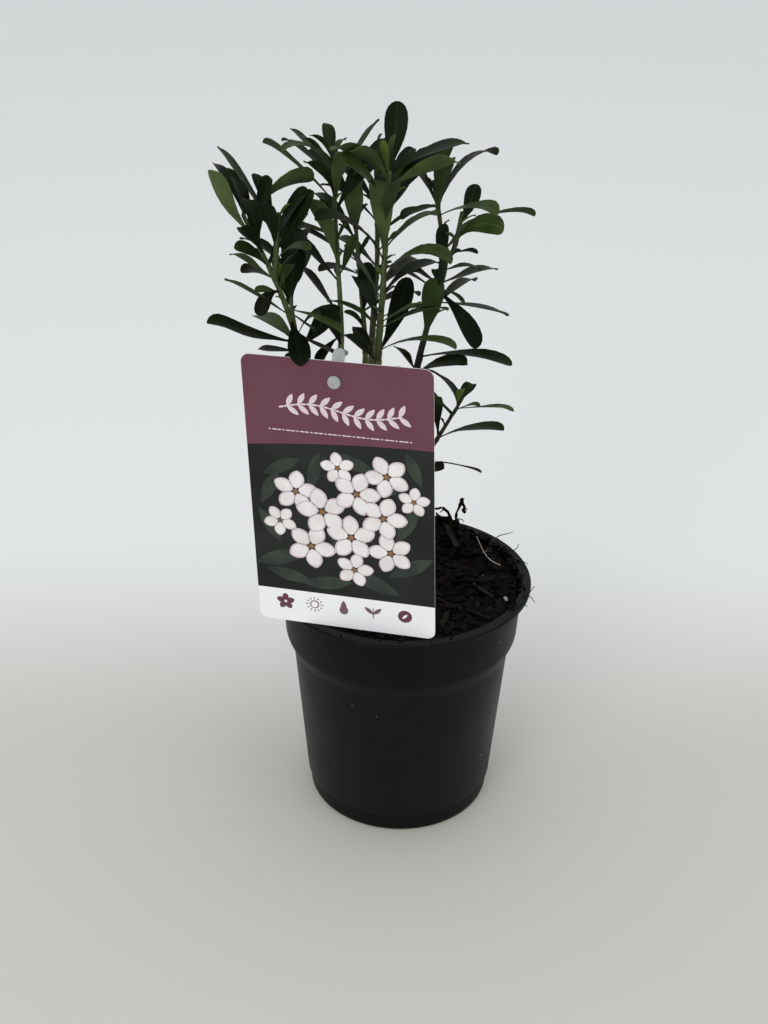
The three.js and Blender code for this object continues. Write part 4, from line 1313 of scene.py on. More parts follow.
@dataclass
class DriedWeeds:
    """Two dried weed stems at the back: one with a curled leaf, one bowed over and looped."""

    stalks: tuple = (  # path and radii
        (((28.4, 53, 119), (28.8, 54, 124.5), (28.9, 54, 127), (29.1, 54, 129.1),
          (30.3, 54, 132.1), (30.7, 54, 134.1), (31.5, 54, 136.2), (31.6, 54, 137.8)),
         (0.5, 0.65)),
        (((31.5, 54, 137.2), (31.7, 54, 134.8), (32.7, 54, 133.5), (33.2, 54, 131.9),
          (32.5, 54, 130.7), (33.7, 54, 129.2)), (0.9, 0.7)),
        (((26, 51, 119), (25.8, 52, 125.5), (25.3, 52, 128), (24.5, 52, 130.3),
          (22.6, 52, 132.1), (21.1, 52, 133.2), (19.5, 52, 132.6), (17, 52, 132.2)),
         (1.1, 0.5)),
        (((25.6, 52, 126.4), (22.9, 52, 127.5), (21.3, 52, 127), (19.5, 52, 128.2),
          (18.2, 52, 130)), (0.5, 0.35)),
    )
    shreds: tuple = (
        ((31.4, 54, 136), (32.6, 52, 138)), ((33, 54, 131), (34.4, 55, 130)),
        ((22.6, 52, 132), (20, 50, 131)), ((29, 54, 125), (33, 53, 124.4)),
    )
    shred_arch: float = 0.6
    shred_radii: tuple = (0.5, 0.2)
    finish: CrumbFinish = CrumbFinish("dry_weed", (22, 16, 12), (38, 28, 21), scale=900)

    @staticmethod
    def knots(i: int, angle: float) -> float:
        """Small swellings along a dry stem."""
        return 0.25 * max(0.0, math.sin(i * 0.9)) + 0.1 * math.sin(angle * 2 + i)

    def build(self) -> Object:
        """Makes the weeds."""
        bm = bmesh.new()
        for path, radii in self.stalks:
            join(bm, limb(Course.through(path, radii), 7, 0.8, self.knots))
        for start, end in self.shreds:
            middle = tuple((a + b) / 2 + self.shred_arch for a, b in zip(start, end))
            join(bm, limb(Course.through([start, middle, end], self.shred_radii), 5, 1))
        return piece("dried_weeds", bm, [self.finish.build()])


@dataclass(frozen=True)
class ChipForm:
    """A kind of bark chip: its least, greatest and usual length, its slimness and how it lies."""

    length: tuple[float, float, float]
    slimness: tuple[float, float]
    thickness: tuple[float, float]
    tilts: tuple[float, float]  # how far it usually lies off the level, along and across


@dataclass
class Compost:
    """The pot's filling: a closed bed of compost with bark chips and fibres lying on it."""

    pot: NurseryPot
    trunk: tuple = (-14, 1)
    height: float = 114.2
    rise: float = 6.4
    lift: float = 2.6
    heap: float = 2.3
    heaped: tuple = (0.53, 0.85)  # the way towards which the bed is heaped up to the lip
    heap_start: float = 42
    heap_slope: float = 14
    heap_turn: float = 0.9
    bump: float = 0.9
    waves: tuple = (0.31, 0.27, 0.13, 0.21)
    clod: float = 5.5
    crumb: float = 2.2
    roughness: float = 1.3
    calm: float = 3  # how far in from the wall the crumbs begin
    seat: float = 10
    trunk_gap: float = 7
    rings: int = 44
    sides: int = 150
    chips: int = 620
    chips_reach: float = 57
    strips: float = 0.3  # the share of the chips that are strips
    strip: ChipForm = ChipForm((8, 22, 11), (0.08, 0.16), (0.7, 1.9), (16, 12))
    flake: ChipForm = ChipForm((2.5, 12, 4.5), (0.22, 0.6), (0.7, 1.9), (16, 12))
    chip_shares: tuple = (0.56, 0.3, 0.09, 0.05)  # of the first four chip finishes
    chip_rounding: float = 0.18
    lip_chips: int = 90
    lip_flake: ChipForm = ChipForm((1.6, 5, 2.4), (0.3, 0.7), (0.4, 1), (5, 4))
    lip_heading: tuple = (58, 44)  # where on the lip its chips lie, and their spread, in degrees
    lip_ring: tuple = (55.6, 60)
    lip_reach: float = 63
    lip_shares: tuple = (0.8, 0.2)  # of the first two chip finishes
    hairs: int = 60
    hair_reach: tuple = (52, 54)  # where a hair starts and where it ends at the latest
    hair_points: int = 5
    hair_step: float = 3.2
    hair_turn: float = 0.55
    hair_lift: tuple = (0.8, 2.4)
    hair_root: tuple = (0.1, 0.2)
    hair_tip: float = 0.06
    pale_radii: tuple = (0.14, 0.24)
    lip_radii: tuple = (0.36, 0.16)
    crumbs: int = 34
    crumb_ring: tuple = (58.6, 63)
    crumb_lift: float = 8.3
    crumb_size: tuple = (0.3, 0.8)
    draws: random.Random = field(default_factory=lambda: random.Random(41))
    bed: CrumbFinish = CrumbFinish("compost", (5, 4, 3), (12, 8, 6), relief=0.8)
    chip_finishes: tuple = (
        CrumbFinish("bark_chip_black", (6, 5, 4), (12, 9, 7)),
        CrumbFinish("bark_chip_brown", (10, 7, 6), (18, 12, 9)),
        CrumbFinish("bark_chip_red", (16, 10, 7), (26, 16, 12)),
        CrumbFinish("bark_chip_grey", (26, 24, 21), (40, 37, 32)),
        CrumbFinish("perlite", (150, 152, 148), (176, 178, 174)),
    )
    chosen_chips: tuple = (  # middle, size, heading and finish of chips that show best
        ((25.9, 41.1, 122.6), (22, 2.6, 0.9), -77, 3), ((41, -10.5, 119.6), (11, 2.2, 0.8), -53, 3),
        ((50.3, -17, 119.9), (3, 1.4, 1.2), -77, 4), ((42.2, 2.7, 119.3), (8, 5, 1.6), 10, 1),
        ((19.2, 55, 125.2), (3.4, 2.6, 2.4), 20, 0), ((22.3, 55, 124.6), (4, 2.6, 2.4), -20, 0),
        ((25.4, 55, 123.6), (3.6, 2.4, 2), 10, 0), ((28.9, 55, 123.1), (4, 2, 1), 0, 0),
    )
    hair_finishes: tuple = (
        CrumbFinish("root_hair_brown", (46, 37, 29), (66, 54, 43)),
        CrumbFinish("root_hair_pale", (176, 168, 154), (200, 192, 180)),
        CrumbFinish("root_hair_dark", (24, 19, 15), (38, 31, 25)),
    )
    pale_hair: tuple = (
        (38.9, 37.9, 124), (40.4, 29, 124), (41.9, 21.4, 123.8), (43.6, 16.7, 123.4),
        (45.8, 13.5, 123), (48, 12, 122.6), (49.6, 11.6, 122.2),
    )
    lip_hairs: tuple = (
        ((46, 36, 120), (50.3, 39.4, 123.2), (53.9, 40.4, 124), (58, 41.6, 124.5)),
        ((55.5, 24, 120), (57.6, 25.8, 122.8), (59.2, 26.2, 124), (60, 26.7, 126)),
        ((57, 15, 120), (60, 13.6, 123), (62, 12.4, 123.4), (63.6, 11.2, 123)),
        ((55, -17, 119), (59, -18.1, 123), (61.7, -16.7, 123.6), (64.1, -15, 126)),
        ((57, -20, 119), (60, -19.6, 123.2), (62, -20.6, 123.2), (64, -21.6, 120.6)),
        ((52, -28, 119), (55.4, -29, 123.2), (57.6, -28, 123.8), (59.4, -30, 123.6)),
    )
    wall_crumbs: tuple = (  # radius, heading in radians and height
        (49.4, 0.02, 40), (48.9, 0.05, 35.4), (47.9, -0.1, 28), (60.9, -0.2, 123),
        (60.6, 0.25, 122.9), (61.4, -0.32, 122.8), (59.9, 0.6, 122.7),
    )

    def surface(self, x: float, y: float) -> float:
        """Height of the bed: higher at the front, back and right, and level round the trunk."""
        out = self.pot.collar_top
        slope = self.rise * (y / out) ** 2 + self.lift * (x / out)
        facing = (x * self.heaped[0] + y * self.heaped[1]) / out
        rim = smooth((math.hypot(x, y) - self.heap_start) / self.heap_slope)
        slope += self.heap * rim * smooth(0.5 + self.heap_turn * facing)
        a, b, c, d = self.waves
        bumps = math.sin(x * a + 1) * math.cos(y * b) + 0.6 * math.sin(x * c - y * d)
        away = math.hypot(x - self.trunk[0], y - self.trunk[1])
        level = smooth((away - self.seat) / self.seat)
        return self.height + (slope + self.bump * bumps) * level

    def build_bed(self) -> Object:
        """Spins the bed inside the pot's wall, and roughens its top into crumbs."""
        gap = 2 * CLEARANCE
        low = self.pot.floor + CLEARANCE
        walls = [(r - gap, max(z, low)) for r, z in self.pot.inside()[:-1]]
        edge = self.pot.inner_radius(self.height) - 3 * CLEARANCE
        top = [(edge * (1 - k / self.rings), self.height) for k in range(self.rings)]
        bm = spun([(0, low), *walls, *top, (0, self.height)], self.sides)
        for vert in bm.verts:
            if abs(vert.co.z - self.height) < 0.01:
                self.roughen(vert, edge)
        bmesh.ops.recalc_face_normals(bm, faces=bm.faces)
        return piece("compost_bed", bm, [self.bed.build()], ["soil"])

    def roughen(self, vert: BMVert, edge: float) -> None:
        """Lifts one vertex of the bed's top to its crumbly height."""
        x, y = vert.co.x, vert.co.y
        clods = noise.noise(Vector((x, y, 3)) / self.clod)
        crumbs = noise.noise(Vector((x, y, 9)) / self.crumb)
        inward = smooth((edge - math.hypot(x, y)) / self.calm)
        vert.co.z = self.surface(x, y) + self.roughness * (clods + 0.6 * crumbs) * inward

    def spot(self, reach: float) -> tuple[float, float]:
        """A place on the bed, away from the trunk's foot."""
        while True:
            angle, r = self.draws.uniform(0, math.tau), reach * math.sqrt(self.draws.random())
            x, y = polar(r, angle)
            if math.hypot(x - self.trunk[0], y - self.trunk[1]) > self.trunk_gap:
                return x, y

    def build_chips(self) -> Object:
        """Scatters flat, torn chips of bark over the bed and the lip, and lays the chosen ones."""
        bm = bmesh.new()
        self.scatter_chips(bm)
        self.scatter_lip_chips(bm)
        for at, size, heading, kind in self.chosen_chips:
            self.add_chip(bm, at, size, (3, 3), kind, heading)
        finishes = [finish.build() for finish in self.chip_finishes]
        made = piece("bark_chips", bm, finishes, smooth_faces=False)
        rounded(made, self.chip_rounding, segments=1, angle=20)
        return made

    def scatter_chips(self, bm: BMesh) -> None:
        """Adds the chips on the bed: short flakes, and strips among them."""
        draws = self.draws
        for _ in range(self.chips):
            form = self.strip if draws.random() < self.strips else self.flake
            length = draws.triangular(*form.length)
            slim = draws.uniform(*form.slimness)
            x, y = self.spot(self.chips_reach - length / 2)
            thick = draws.uniform(*form.thickness)
            kind = draws.choices(range(4), self.chip_shares)[0]
            high = self.surface(x, y) + thick * 0.55 + CLEARANCE
            self.add_chip(bm, (x, y, high), (length, length * slim, thick), form.tilts, kind)

    def scatter_lip_chips(self, bm: BMesh) -> None:
        """Adds the small chips that lie on the pot's lip, most of them at its back and right."""
        draws, form = self.draws, self.lip_flake
        for _ in range(self.lip_chips):
            length, thick = draws.triangular(*form.length), draws.uniform(*form.thickness)
            angle = math.radians(draws.gauss(*self.lip_heading))
            r = min(draws.uniform(*self.lip_ring), self.lip_reach - length / 2)
            at = (*polar(r, angle), self.pot.height + 0.2 + thick * 0.7)
            size = (length, length * draws.uniform(*form.slimness), thick)
            self.add_chip(bm, at, size, form.tilts, draws.choices((0, 1), self.lip_shares)[0])

    def add_chip(self, bm: BMesh, at: tuple, size: tuple, tilts: tuple, kind: int,
                 heading: float | None = None) -> None:
        """Adds one torn chip, in one of the chip finishes.

        Args:
            bm: the chips.
            at: its middle.
            size: its length, width and thickness.
            tilts: how far it usually lies off the level, in degrees along and across.
            kind: the number of its finish.
            heading: the heading of its length in degrees, or any.
        """
        draws = self.draws
        turn = draws.uniform(0, math.tau) if heading is None else math.radians(heading)
        place = Matrix.Translation(at) @ Matrix.Rotation(turn, 4, "Z")
        for spread, axis in zip(tilts, "XY"):
            place = place @ rotation(axis, draws.gauss(0, spread))
        made = bmesh.ops.create_cube(bm, size=1, matrix=place @ Matrix.Diagonal((*size, 1)))
        torn = 0.077 * min(size[0], 4 * size[2]) if heading is None else 0.06 * size[1]
        for vert in made["verts"]:
            vert.co += Vector([draws.uniform(-torn, torn) for _ in "xyz"])
        paint(made["verts"], kind)

    def stray(self) -> Course:
        """A hair that wanders over the bed from a place on it."""
        draws = self.draws
        start, end = self.hair_reach
        x, y = self.spot(start)
        heading = draws.uniform(0, math.tau)
        points = []
        for _ in range(self.hair_points):
            points.append((x, y, self.surface(x, y) + draws.uniform(*self.hair_lift)))
            heading += draws.gauss(0, self.hair_turn)
            step = polar(self.hair_step, heading)
            x, y = x + step[0], y + step[1]
            if math.hypot(x, y) > end:
                break
        if len(points) < 2:
            return self.stray()
        return Course.through(points, (draws.uniform(*self.hair_root), self.hair_tip))

    def build_hairs(self) -> Object:
        """Lays root hairs on the bed, with a few pale ones and some that hang over the lip."""
        bm = bmesh.new()
        for i in range(self.hairs):
            self.add_hair(bm, self.stray(), 0 if i % 5 else 1)
        self.add_hair(bm, Course.through(self.pale_hair, self.pale_radii), 1)
        for path in self.lip_hairs:
            self.add_hair(bm, Course.through(path, self.lip_radii), 2)
        return piece("root_hairs", bm, [f.build() for f in self.hair_finishes])

    @staticmethod
    def add_hair(bm: BMesh, course: Course, kind: int) -> None:
        """Adds one hair, in one of the hair finishes."""
        hair = limb(course, 5, 1.6)
        paint(hair.verts, kind)
        join(bm, hair)

    def build_crumbs(self) -> Object:
        """A few crumbs that cling to the pot's wall and its lip."""
        bm = bmesh.new()
        draws = self.draws
        places = [*self.wall_crumbs]
        for _ in range(self.crumbs):
            places.append((draws.uniform(*self.crumb_ring), draws.uniform(-math.pi, math.pi),
                           self.height + self.crumb_lift))
        for radius, angle, height in places:
            size = draws.uniform(*self.crumb_size)
            at = Matrix.Translation((*polar(radius, angle), height))
            made = bmesh.ops.create_icosphere(bm, subdivisions=1, radius=size, matrix=at)["verts"]
            for vert in made:
                vert.co += Vector([draws.uniform(-0.25, 0.25) * size for _ in "xyz"])
        return piece("compost_crumbs", bm, [self.chip_finishes[0].build()])

    def build(self) -> None:
        """Makes the bed and all that lies on it."""
        self.build_bed()
        self.build_chips()
        self.build_hairs()
        DriedWeeds().build()
        self.build_crumbs()


# ---------------------------------------------------------------- bark, twigs and leaves


@dataclass
class Bark:
    """The trunk and the bare boughs, run together into one skin with ridges and leaf scars."""

    growth: Growth
    foot: tuple = (-14, 1)
    base: float = 114.5
    radii: tuple = (4.3, 3.5)
    flare: float = 2.6
    flare_height: float = 6
    lobes: int = 5
    trunk_sides: int = 30
    bough_sides: int = 14
    voxel: float = 0.42
    overlap: int = 3  # how far a bough runs on into its mass, in samples
    knot: float = 1.08
    scar: float = 0.42
    scar_step: int = 5
    ridge: float = 0.16
    ridge_size: float = 1.1
    ridge_stretch: float = 0.22
    finish: BarkFinish = BarkFinish("bark", (84, 66, 46), (48, 36, 26), (104, 112, 66), (205, 265))
    dark_finish: BarkFinish = BarkFinish(
        "dark_bark", (46, 34, 28), (26, 20, 18), (64, 60, 42), (236, 300)
    )

    def trunk(self) -> BMesh:
        """The trunk, spread into lobes at its foot, with the knot that the boughs grow from."""
        fork = self.growth.fork
        course = Course.through(
            [(*self.foot, self.base), ((self.foot[0] + fork[0]) / 2, 0, 123), fork], self.radii
        )

        def spread(i: int, angle: float) -> float:
            """The flare's reach at a sample and an angle."""
            low = max(0.0, 1 - i / self.flare_height) ** 2
            return self.flare * low * (0.68 + 0.32 * math.cos(self.lobes * angle))

        bm = limb(course, self.trunk_sides, 1, spread)
        knot = bmesh.new()
        bmesh.ops.create_icosphere(
            knot, subdivisions=3, radius=self.radii[1] * self.knot, matrix=Matrix.Translation(fork)
        )
        join(bm, knot)
        return bm

    def bough(self, name: str) -> BMesh:
        """A bare bough with the scars of fallen leaves, running a little way into its mass."""
        shoot = SHOOTS[name]
        course = self.growth.courses[name]
        bare = int((course.points[:, 2] < shoot.start).sum())
        stretch = course.part(slice(0, bare + self.overlap))
        turn = {key: 40 * k for k, key in enumerate(SHOOTS)}[name]

        def scars(i: int, angle: float) -> float:
            """Swellings by the golden angle, one every few millimetres."""
            k, off = divmod(i, self.scar_step)
            aim = math.radians(turn + k * self.growth.golden)
            side = max(0.0, math.cos(angle - aim))
            return self.scar * side**3 * math.exp(-((off - 2) ** 2) / 1.4)

        return limb(stretch, self.bough_sides, 1, scars)

    def fuse(self, made: Object) -> None:
        """Runs a piece's limbs together into one skin, and gives it fine ridges."""
        remesh = made.modifiers.new("one_skin", "REMESH")
        remesh.mode = "VOXEL"
        remesh.voxel_size = self.voxel * MM
        graph = bpy.context.evaluated_depsgraph_get()
        fused = bpy.data.meshes.new_from_object(made.evaluated_get(graph))
        made.modifiers.clear()
        bm = bmesh.new()
        bm.from_mesh(fused)
        bpy.data.meshes.remove(fused)
        bmesh.ops.smooth_vert(bm, verts=bm.verts, factor=0.5, use_axis_x=True, use_axis_y=True,
                              use_axis_z=True)
        bm.normal_update()
        for vert in bm.verts:
            at = Vector((vert.co.x, vert.co.y, vert.co.z * self.ridge_stretch))
            at /= self.ridge_size * MM
            vert.co += vert.normal * (noise.noise(at) * self.ridge * MM)
        for face in bm.faces:
            face.smooth = True
        bm.to_mesh(made.data)
        bm.free()

    def build(self) -> None:
        """Makes the light and the dark limbs, each as one piece."""
        light = [name for name in SHOOTS if name != "right"]
        bm = self.trunk()
        for name in light:
            join(bm, self.bough(name))
        replaced = ["trunk", *("bough_" + name for name in light)]
        self.fuse(piece("bark_limbs", bm, [self.finish.build()], replaced))
        bm = self.bough("right")
        made = piece("bark_dark_bough", bm, [self.dark_finish.build()], ["bough_right"])
        self.fuse(made)


@dataclass
class Foliage:
    """The leafy masses: their green stems, the leaves of the plan, and small leaves in the axils."""

    growth: Growth
    columns: tuple = (-1, -0.55, -0.07, 0.07, 0.55, 1)
    stations: tuple = (0, 0.14, 0.28, 0.42, 0.55, 0.67, 0.78, 0.87, 0.935, 0.975, 0.997)
    thickness: float = 0.34
    cup: float = 0.22
    hook: float = 0.75
    least_width: float = 0.45
    rib: float = 0.07
    waves: float = 9
    axil_step: float = 8
    axil_seeds: tuple = (701, 13)
    axil_turn: float = 60
    axil_pair: tuple = (-26, 24)
    axil_length: tuple = (7, 15)
    axil_rise: tuple = (48, 16)  # usual rise, and its spread
    axil_roll: float = 20
    axil_share: float = 0.86
    tip_share: float = 0.9
    tip_length: float = 11
    tip_young: float = 0.3
    upper_share: float = 0.6
    upper_mix: tuple = (0.34, 0.38, 0.28)  # of DEEP, MID and FRESH
    lower_mix: tuple = (0.56, 0.34, 0.1)
    stem_sides: int = 12
    stem_step: float = 1.2
    swelling: float = 0.32
    strays: tuple = (  # stems, and the leaves that are laid on them without a test
        ("left", Row(280, -125, -26, 18, WITHERED, 110, -40, 1.3)),
        ("right", Row(285, 176, 22, 12, WITHERED, 45, -15)),
        ("right_twig_0", Row(287, -33, 14, 14, WITHERED, 30, 10)),
        ("left", Row(267, -78, -21, 28, DARK, 30, -5, 1.2)),
        ("left", Row(300, -103, 64, 28, DARK, 20, -15, 1.2)),
        ("left", Row(297, -116, 45, 24, DARK, 20, 20, 1.1)),
        ("left", Row(307, -115, 64, 30, DARK, 20, -15)),
        ("left_twig_0", Row(299, -109, 62, 28, DARK, 20, -10, 1.2)),
        ("centre_left", Row(312, -70, 61, 34, FRESH, 30, 20)),
        ("centre_left", Row(283, -52, 64, 24, MID, -35, 5)),
        ("centre_left", Row(259, 142, -51, 22, DARK, 30, 25)),
        ("centre_left", Row(254, -109, 56, 30, DARK, -10, 5)),
        ("centre", Row(317, -134, 42, 36, FRESH, 20, -45)),
        ("centre", Row(303, -77, 59, 34, MID, 20, 30)),
        ("centre", Row(326, -125, 36, 32, FRESH, 30, 25)),
        ("centre_back", Row(300, -79, 57, 32, FRESH, 20, 35)),
        ("right", Row(266, -69, 68, 30, DARK, -55, 35)),
        ("right", Row(232, -53, -9, 34, DARK, 70, -35)),
        ("right", Row(230, -39, 25, 32, DEEP, 40, 20)),
    )
    draws: random.Random = field(default_factory=lambda: random.Random(7))
    stem_finish: BarkFinish = BarkFinish("green_stem", (56, 51, 31), (40, 36, 22),
                                         (70, 82, 42), (228, 268))
    dark_stem_finish: BarkFinish = BarkFinish("dark_stem", (26, 22, 18), (16, 14, 12),
                                              (60, 70, 36), (252, 284))

    def grow_axils(self) -> None:
        """Places small leaves in the axils, up each stem by the same rule, where there is room."""
        growth = self.growth
        for k, stem in enumerate(growth.stems):
            rule = stem.rule
            draws = ParkMiller(self.axil_seeds[0] + self.axil_seeds[1] * k)
            tip = growth.courses[stem.key].points[-1][2]
            count = int((tip - rule.start) / self.axil_step)
            for i in range(count):
                height = rule.start + (i + 0.5) * self.axil_step
                turn = rule.turn + self.axil_turn + i * growth.golden
                for off in self.axil_pair:
                    length = mix(*self.axil_length, draws.draw())
                    rise = self.axil_rise[0] + draws.swing(self.axil_rise[1])
                    roll = draws.swing(self.axil_roll)
                    row = Row(height + 1.5, turn + off, rise, length, roll=roll)
                    growth.try_leaf(stem, row, confined=True, share=self.axil_share)

    def blade(self) -> Mesh:
        """The blade that every leaf is bent from: a thin slab with a strip for its midrib.

        X runs across it from -1 to 1, Y is the share of its length, and Z is -1 below and 1 above.
        Each face's number says what it is: 0 the upper face, 1 the underside, 2 the midrib.
        """
        across, along = len(self.columns) - 1, len(self.stations) - 1
        bm = bmesh.new()
        bmesh.ops.create_grid(bm, x_segments=across, y_segments=along, size=1, calc_uvs=False)
        for vert in bm.verts:
            vert.co.x = self.columns[round((vert.co.x + 1) / 2 * across)]
            vert.co.y = self.stations[round((vert.co.y + 1) / 2 * along)]
        bmesh.ops.solidify(bm, geom=bm.faces[:], thickness=0.1)
        middle = (max(v.co.z for v in bm.verts) + min(v.co.z for v in bm.verts)) / 2
        for vert in bm.verts:
            vert.co.z = 1 if vert.co.z > middle else -1
        bmesh.ops.recalc_face_normals(bm, faces=bm.faces)
        layer = bm.loops.layers.uv.new("UVMap")
        for face in bm.faces:
            face.smooth = True
            flat = abs(face.normal.z) > 0.5
            rib = flat and abs(face.calc_center_median().x) < 0.05
            face.material_index = 2 if rib else 0 if face.normal.z > 0.5 else 1
            for loop in face.loops:
                loop[layer].uv = ((loop.vert.co.x + 1) / 2, loop.vert.co.y)
        for edge in bm.edges:
            edge.smooth = len({abs(face.normal.z) > 0.5 for face in edge.link_faces}) == 1
        bmesh.ops.reverse_faces(bm, faces=bm.faces)  # bend() mirrors the slab, which turns it back
        return finished("blade", bm)

    def bend(self, leaf: Leaf, blade: Mesh) -> Vec:
        """Where the blade's vertices go to make one leaf.

        Args:
            leaf: the leaf.
            blade: the flat slab.

        Returns:
            The places, in millimetres.
        """
        flat = np.empty(len(blade.vertices) * 3)
        blade.vertices.foreach_get("co", flat)
        x, s, z = flat.reshape(-1, 3).T
        draws = self.draws
        hook = self.hook * draws.uniform(0.2, 1.5)
        curl = self.cup * draws.uniform(0.5, 1.3)
        wave, phase = draws.uniform(0.1, 0.35), draws.uniform(0, math.tau)
        centre, across, face, _ = leaf.frames(s, hook)
        half = leaf.width / 2 * SHAPE.outline(s)
        sideways = x * np.maximum(half, self.least_width)
        wide = np.abs(sideways)
        lift = SHAPE.fold * wide + curl * wide * (x**2 - 0.5) * 0.5
        lift += wave * x * x * np.sin(s * self.waves + phase) * np.minimum(1, half / 2)
        thick = self.thickness / 2 * np.where(np.abs(x) > 0.9, 0.5, 1)
        lift += z * np.where(np.abs(x) < 0.1, thick + self.rib * (z < 0), thick)
        return centre + across * sideways[:, None] + face * lift[:, None]

    def tint_of(self, leaf: Leaf) -> LeafTint:
        """A leaf's own base colour, or a dealt one: young ones at the tip, a mixture below."""
        if leaf.row.tint:
            return leaf.row.tint
        if leaf.share >= self.tip_share or leaf.row.length < self.tip_length:
            return YOUNG if self.draws.random() < self.tip_young else FRESH
        weights = self.upper_mix if leaf.share > self.upper_share else self.lower_mix
        return self.draws.choices((DEEP, MID, FRESH), weights)[0]

    def stray_leaves(self) -> list[Leaf]:
        """Leaves that lie over others, and the few dead, curled ones that still hang on."""
        found = []
        for key, row in self.strays:
            course = self.growth.courses[key]
            mass = key.split("_twig")[0]
            found.append(Leaf(course.points[course.nearest(row.height)], row, mass))
        return found

    def build_leaves(self, mass: str, blade: Mesh, materials: list) -> Object:
        """Joins a mass's leaves into one piece."""
        bm = bmesh.new()
        own = [leaf for leaf in self.growth.leaves + self.stray_leaves() if leaf.mass == mass]
        tints = list(LeafTint)
        for leaf in own:
            verts, faces = len(bm.verts), len(bm.faces)
            bm.from_mesh(blade)
            bm.verts.ensure_lookup_table()
            bm.faces.ensure_lookup_table()
            for vert, co in zip(bm.verts[verts:], self.bend(leaf, blade)):
                vert.co = co
            tint = self.tint_of(leaf)
            for face in bm.faces[faces:]:
                face.material_index += 3 * tints.index(tint)
        return piece("leaves_" + mass, bm, materials, ["foliage_" + mass])

    def build_stems(self, mass: str) -> Object:
        """Joins a mass's green stems into one piece, with a swelling under each leaf."""
        growth = self.growth
        bm = bmesh.new()
        roots = [leaf for leaf in growth.leaves if leaf.mass == mass]
        for key in growth.keys_of(mass):
            course = growth.courses[key]
            if key == mass:
                start = int((course.points[:, 2] < SHOOTS[mass].start).sum())
                course = course.part(slice(start - 2, None))
                above = (course.points[:, 2] - SHOOTS[mass].start) / 25
                course.radii = course.radii * (1 - 0.15 * np.clip(above, 0, 1))

            def swell(i: int, angle: float, course: Course = course) -> float:
                """How far the stem stands out under the leaves near a sample."""
                a, b = course.square(i)
                out = a * math.cos(angle) + b * math.sin(angle)
                total = 0.0
                for leaf in roots:
                    gap = leaf.root - course.points[i]
                    if abs(gap[2]) < 2.4 and np.dot(gap, gap) < 9:
                        heading = math.radians(leaf.row.turn)
                        side = out[0] * math.cos(heading) + out[1] * math.sin(heading)
                        near = math.exp(-((gap[2] - 0.6) ** 2) / 1.6)
                        total = max(total, self.swelling * max(0.0, side) ** 2 * near)
                return total

            join(bm, limb(course, self.stem_sides, self.stem_step, swell))
        finish = self.dark_stem_finish if mass == "right" else self.stem_finish
        return piece("stems_" + mass, bm, [self.stem_material(finish)])

    def stem_material(self, finish: BarkFinish) -> Material:
        """The finish's material, made once."""
        return bpy.data.materials.get(finish.name) or finish.build()

    def build(self) -> None:
        """Makes every mass's stems and leaves."""
        self.grow_axils()
        blade = self.blade()
        materials = []
        for tint in LeafTint:
            name = "leaf_" + tint.name.lower()
            upper, under, rib = tint.value
            dry = tint is WITHERED
            materials += [
                LeafFinish(name + "_upper", upper, 0.6 if dry else 0.45).build(),
                LeafFinish(name + "_underside", under, 0.58, veins=0.35).build(),
                LeafFinish(name + "_midrib", rib, 0.5, veins=0.1).build(),
            ]
        for mass in SHOOTS:
            self.build_stems(mass)
            self.build_leaves(mass, blade, materials)
        bpy.data.meshes.remove(blade)


# ---------------------------------------------------------------- label card and its tie


class Ink(Enum):
    """What each face of the card and its motifs is printed in."""

    HEADER = 0
    PICTURE = 1
    STRIP = 2
    CORE = 3
    PETAL = 4
    PETAL_SHADE = 5
    CENTRE = 6
    LEAF = 7
    LEAF_PALE = 8
    LINE = 9

    @staticmethod
    def finishes() -> list[Material]:
        """The materials, in the order of their numbers."""
        return [
            PrintFinish("print_mauve", (98, 58, 71), (106, 64, 77)).build(),
            PrintFinish("print_dusk", (19, 21, 21), (34, 38, 36), scale=34).build(),
            PrintFinish("print_white", (238, 238, 240), (243, 243, 245)).build(),
            PrintFinish("card_edge", (214, 214, 212), (224, 224, 222), 0.6).build(),
            PrintFinish("print_petal", (222, 217, 216), (236, 233, 232), scale=120).build(),
            PrintFinish("print_petal_shade", (196, 180, 184), (214, 202, 204), scale=120).build(),
            PrintFinish("print_centre", (150, 112, 88), (120, 96, 60), scale=500).build(),
            PrintFinish("print_leaf", (38, 46, 41), (55, 64, 55), scale=90).build(),
            PrintFinish("print_leaf_pale", (214, 196, 206), (222, 208, 216)).build(),
            PrintFinish("print_line", (112, 84, 98), (120, 92, 104)).build(),
        ]


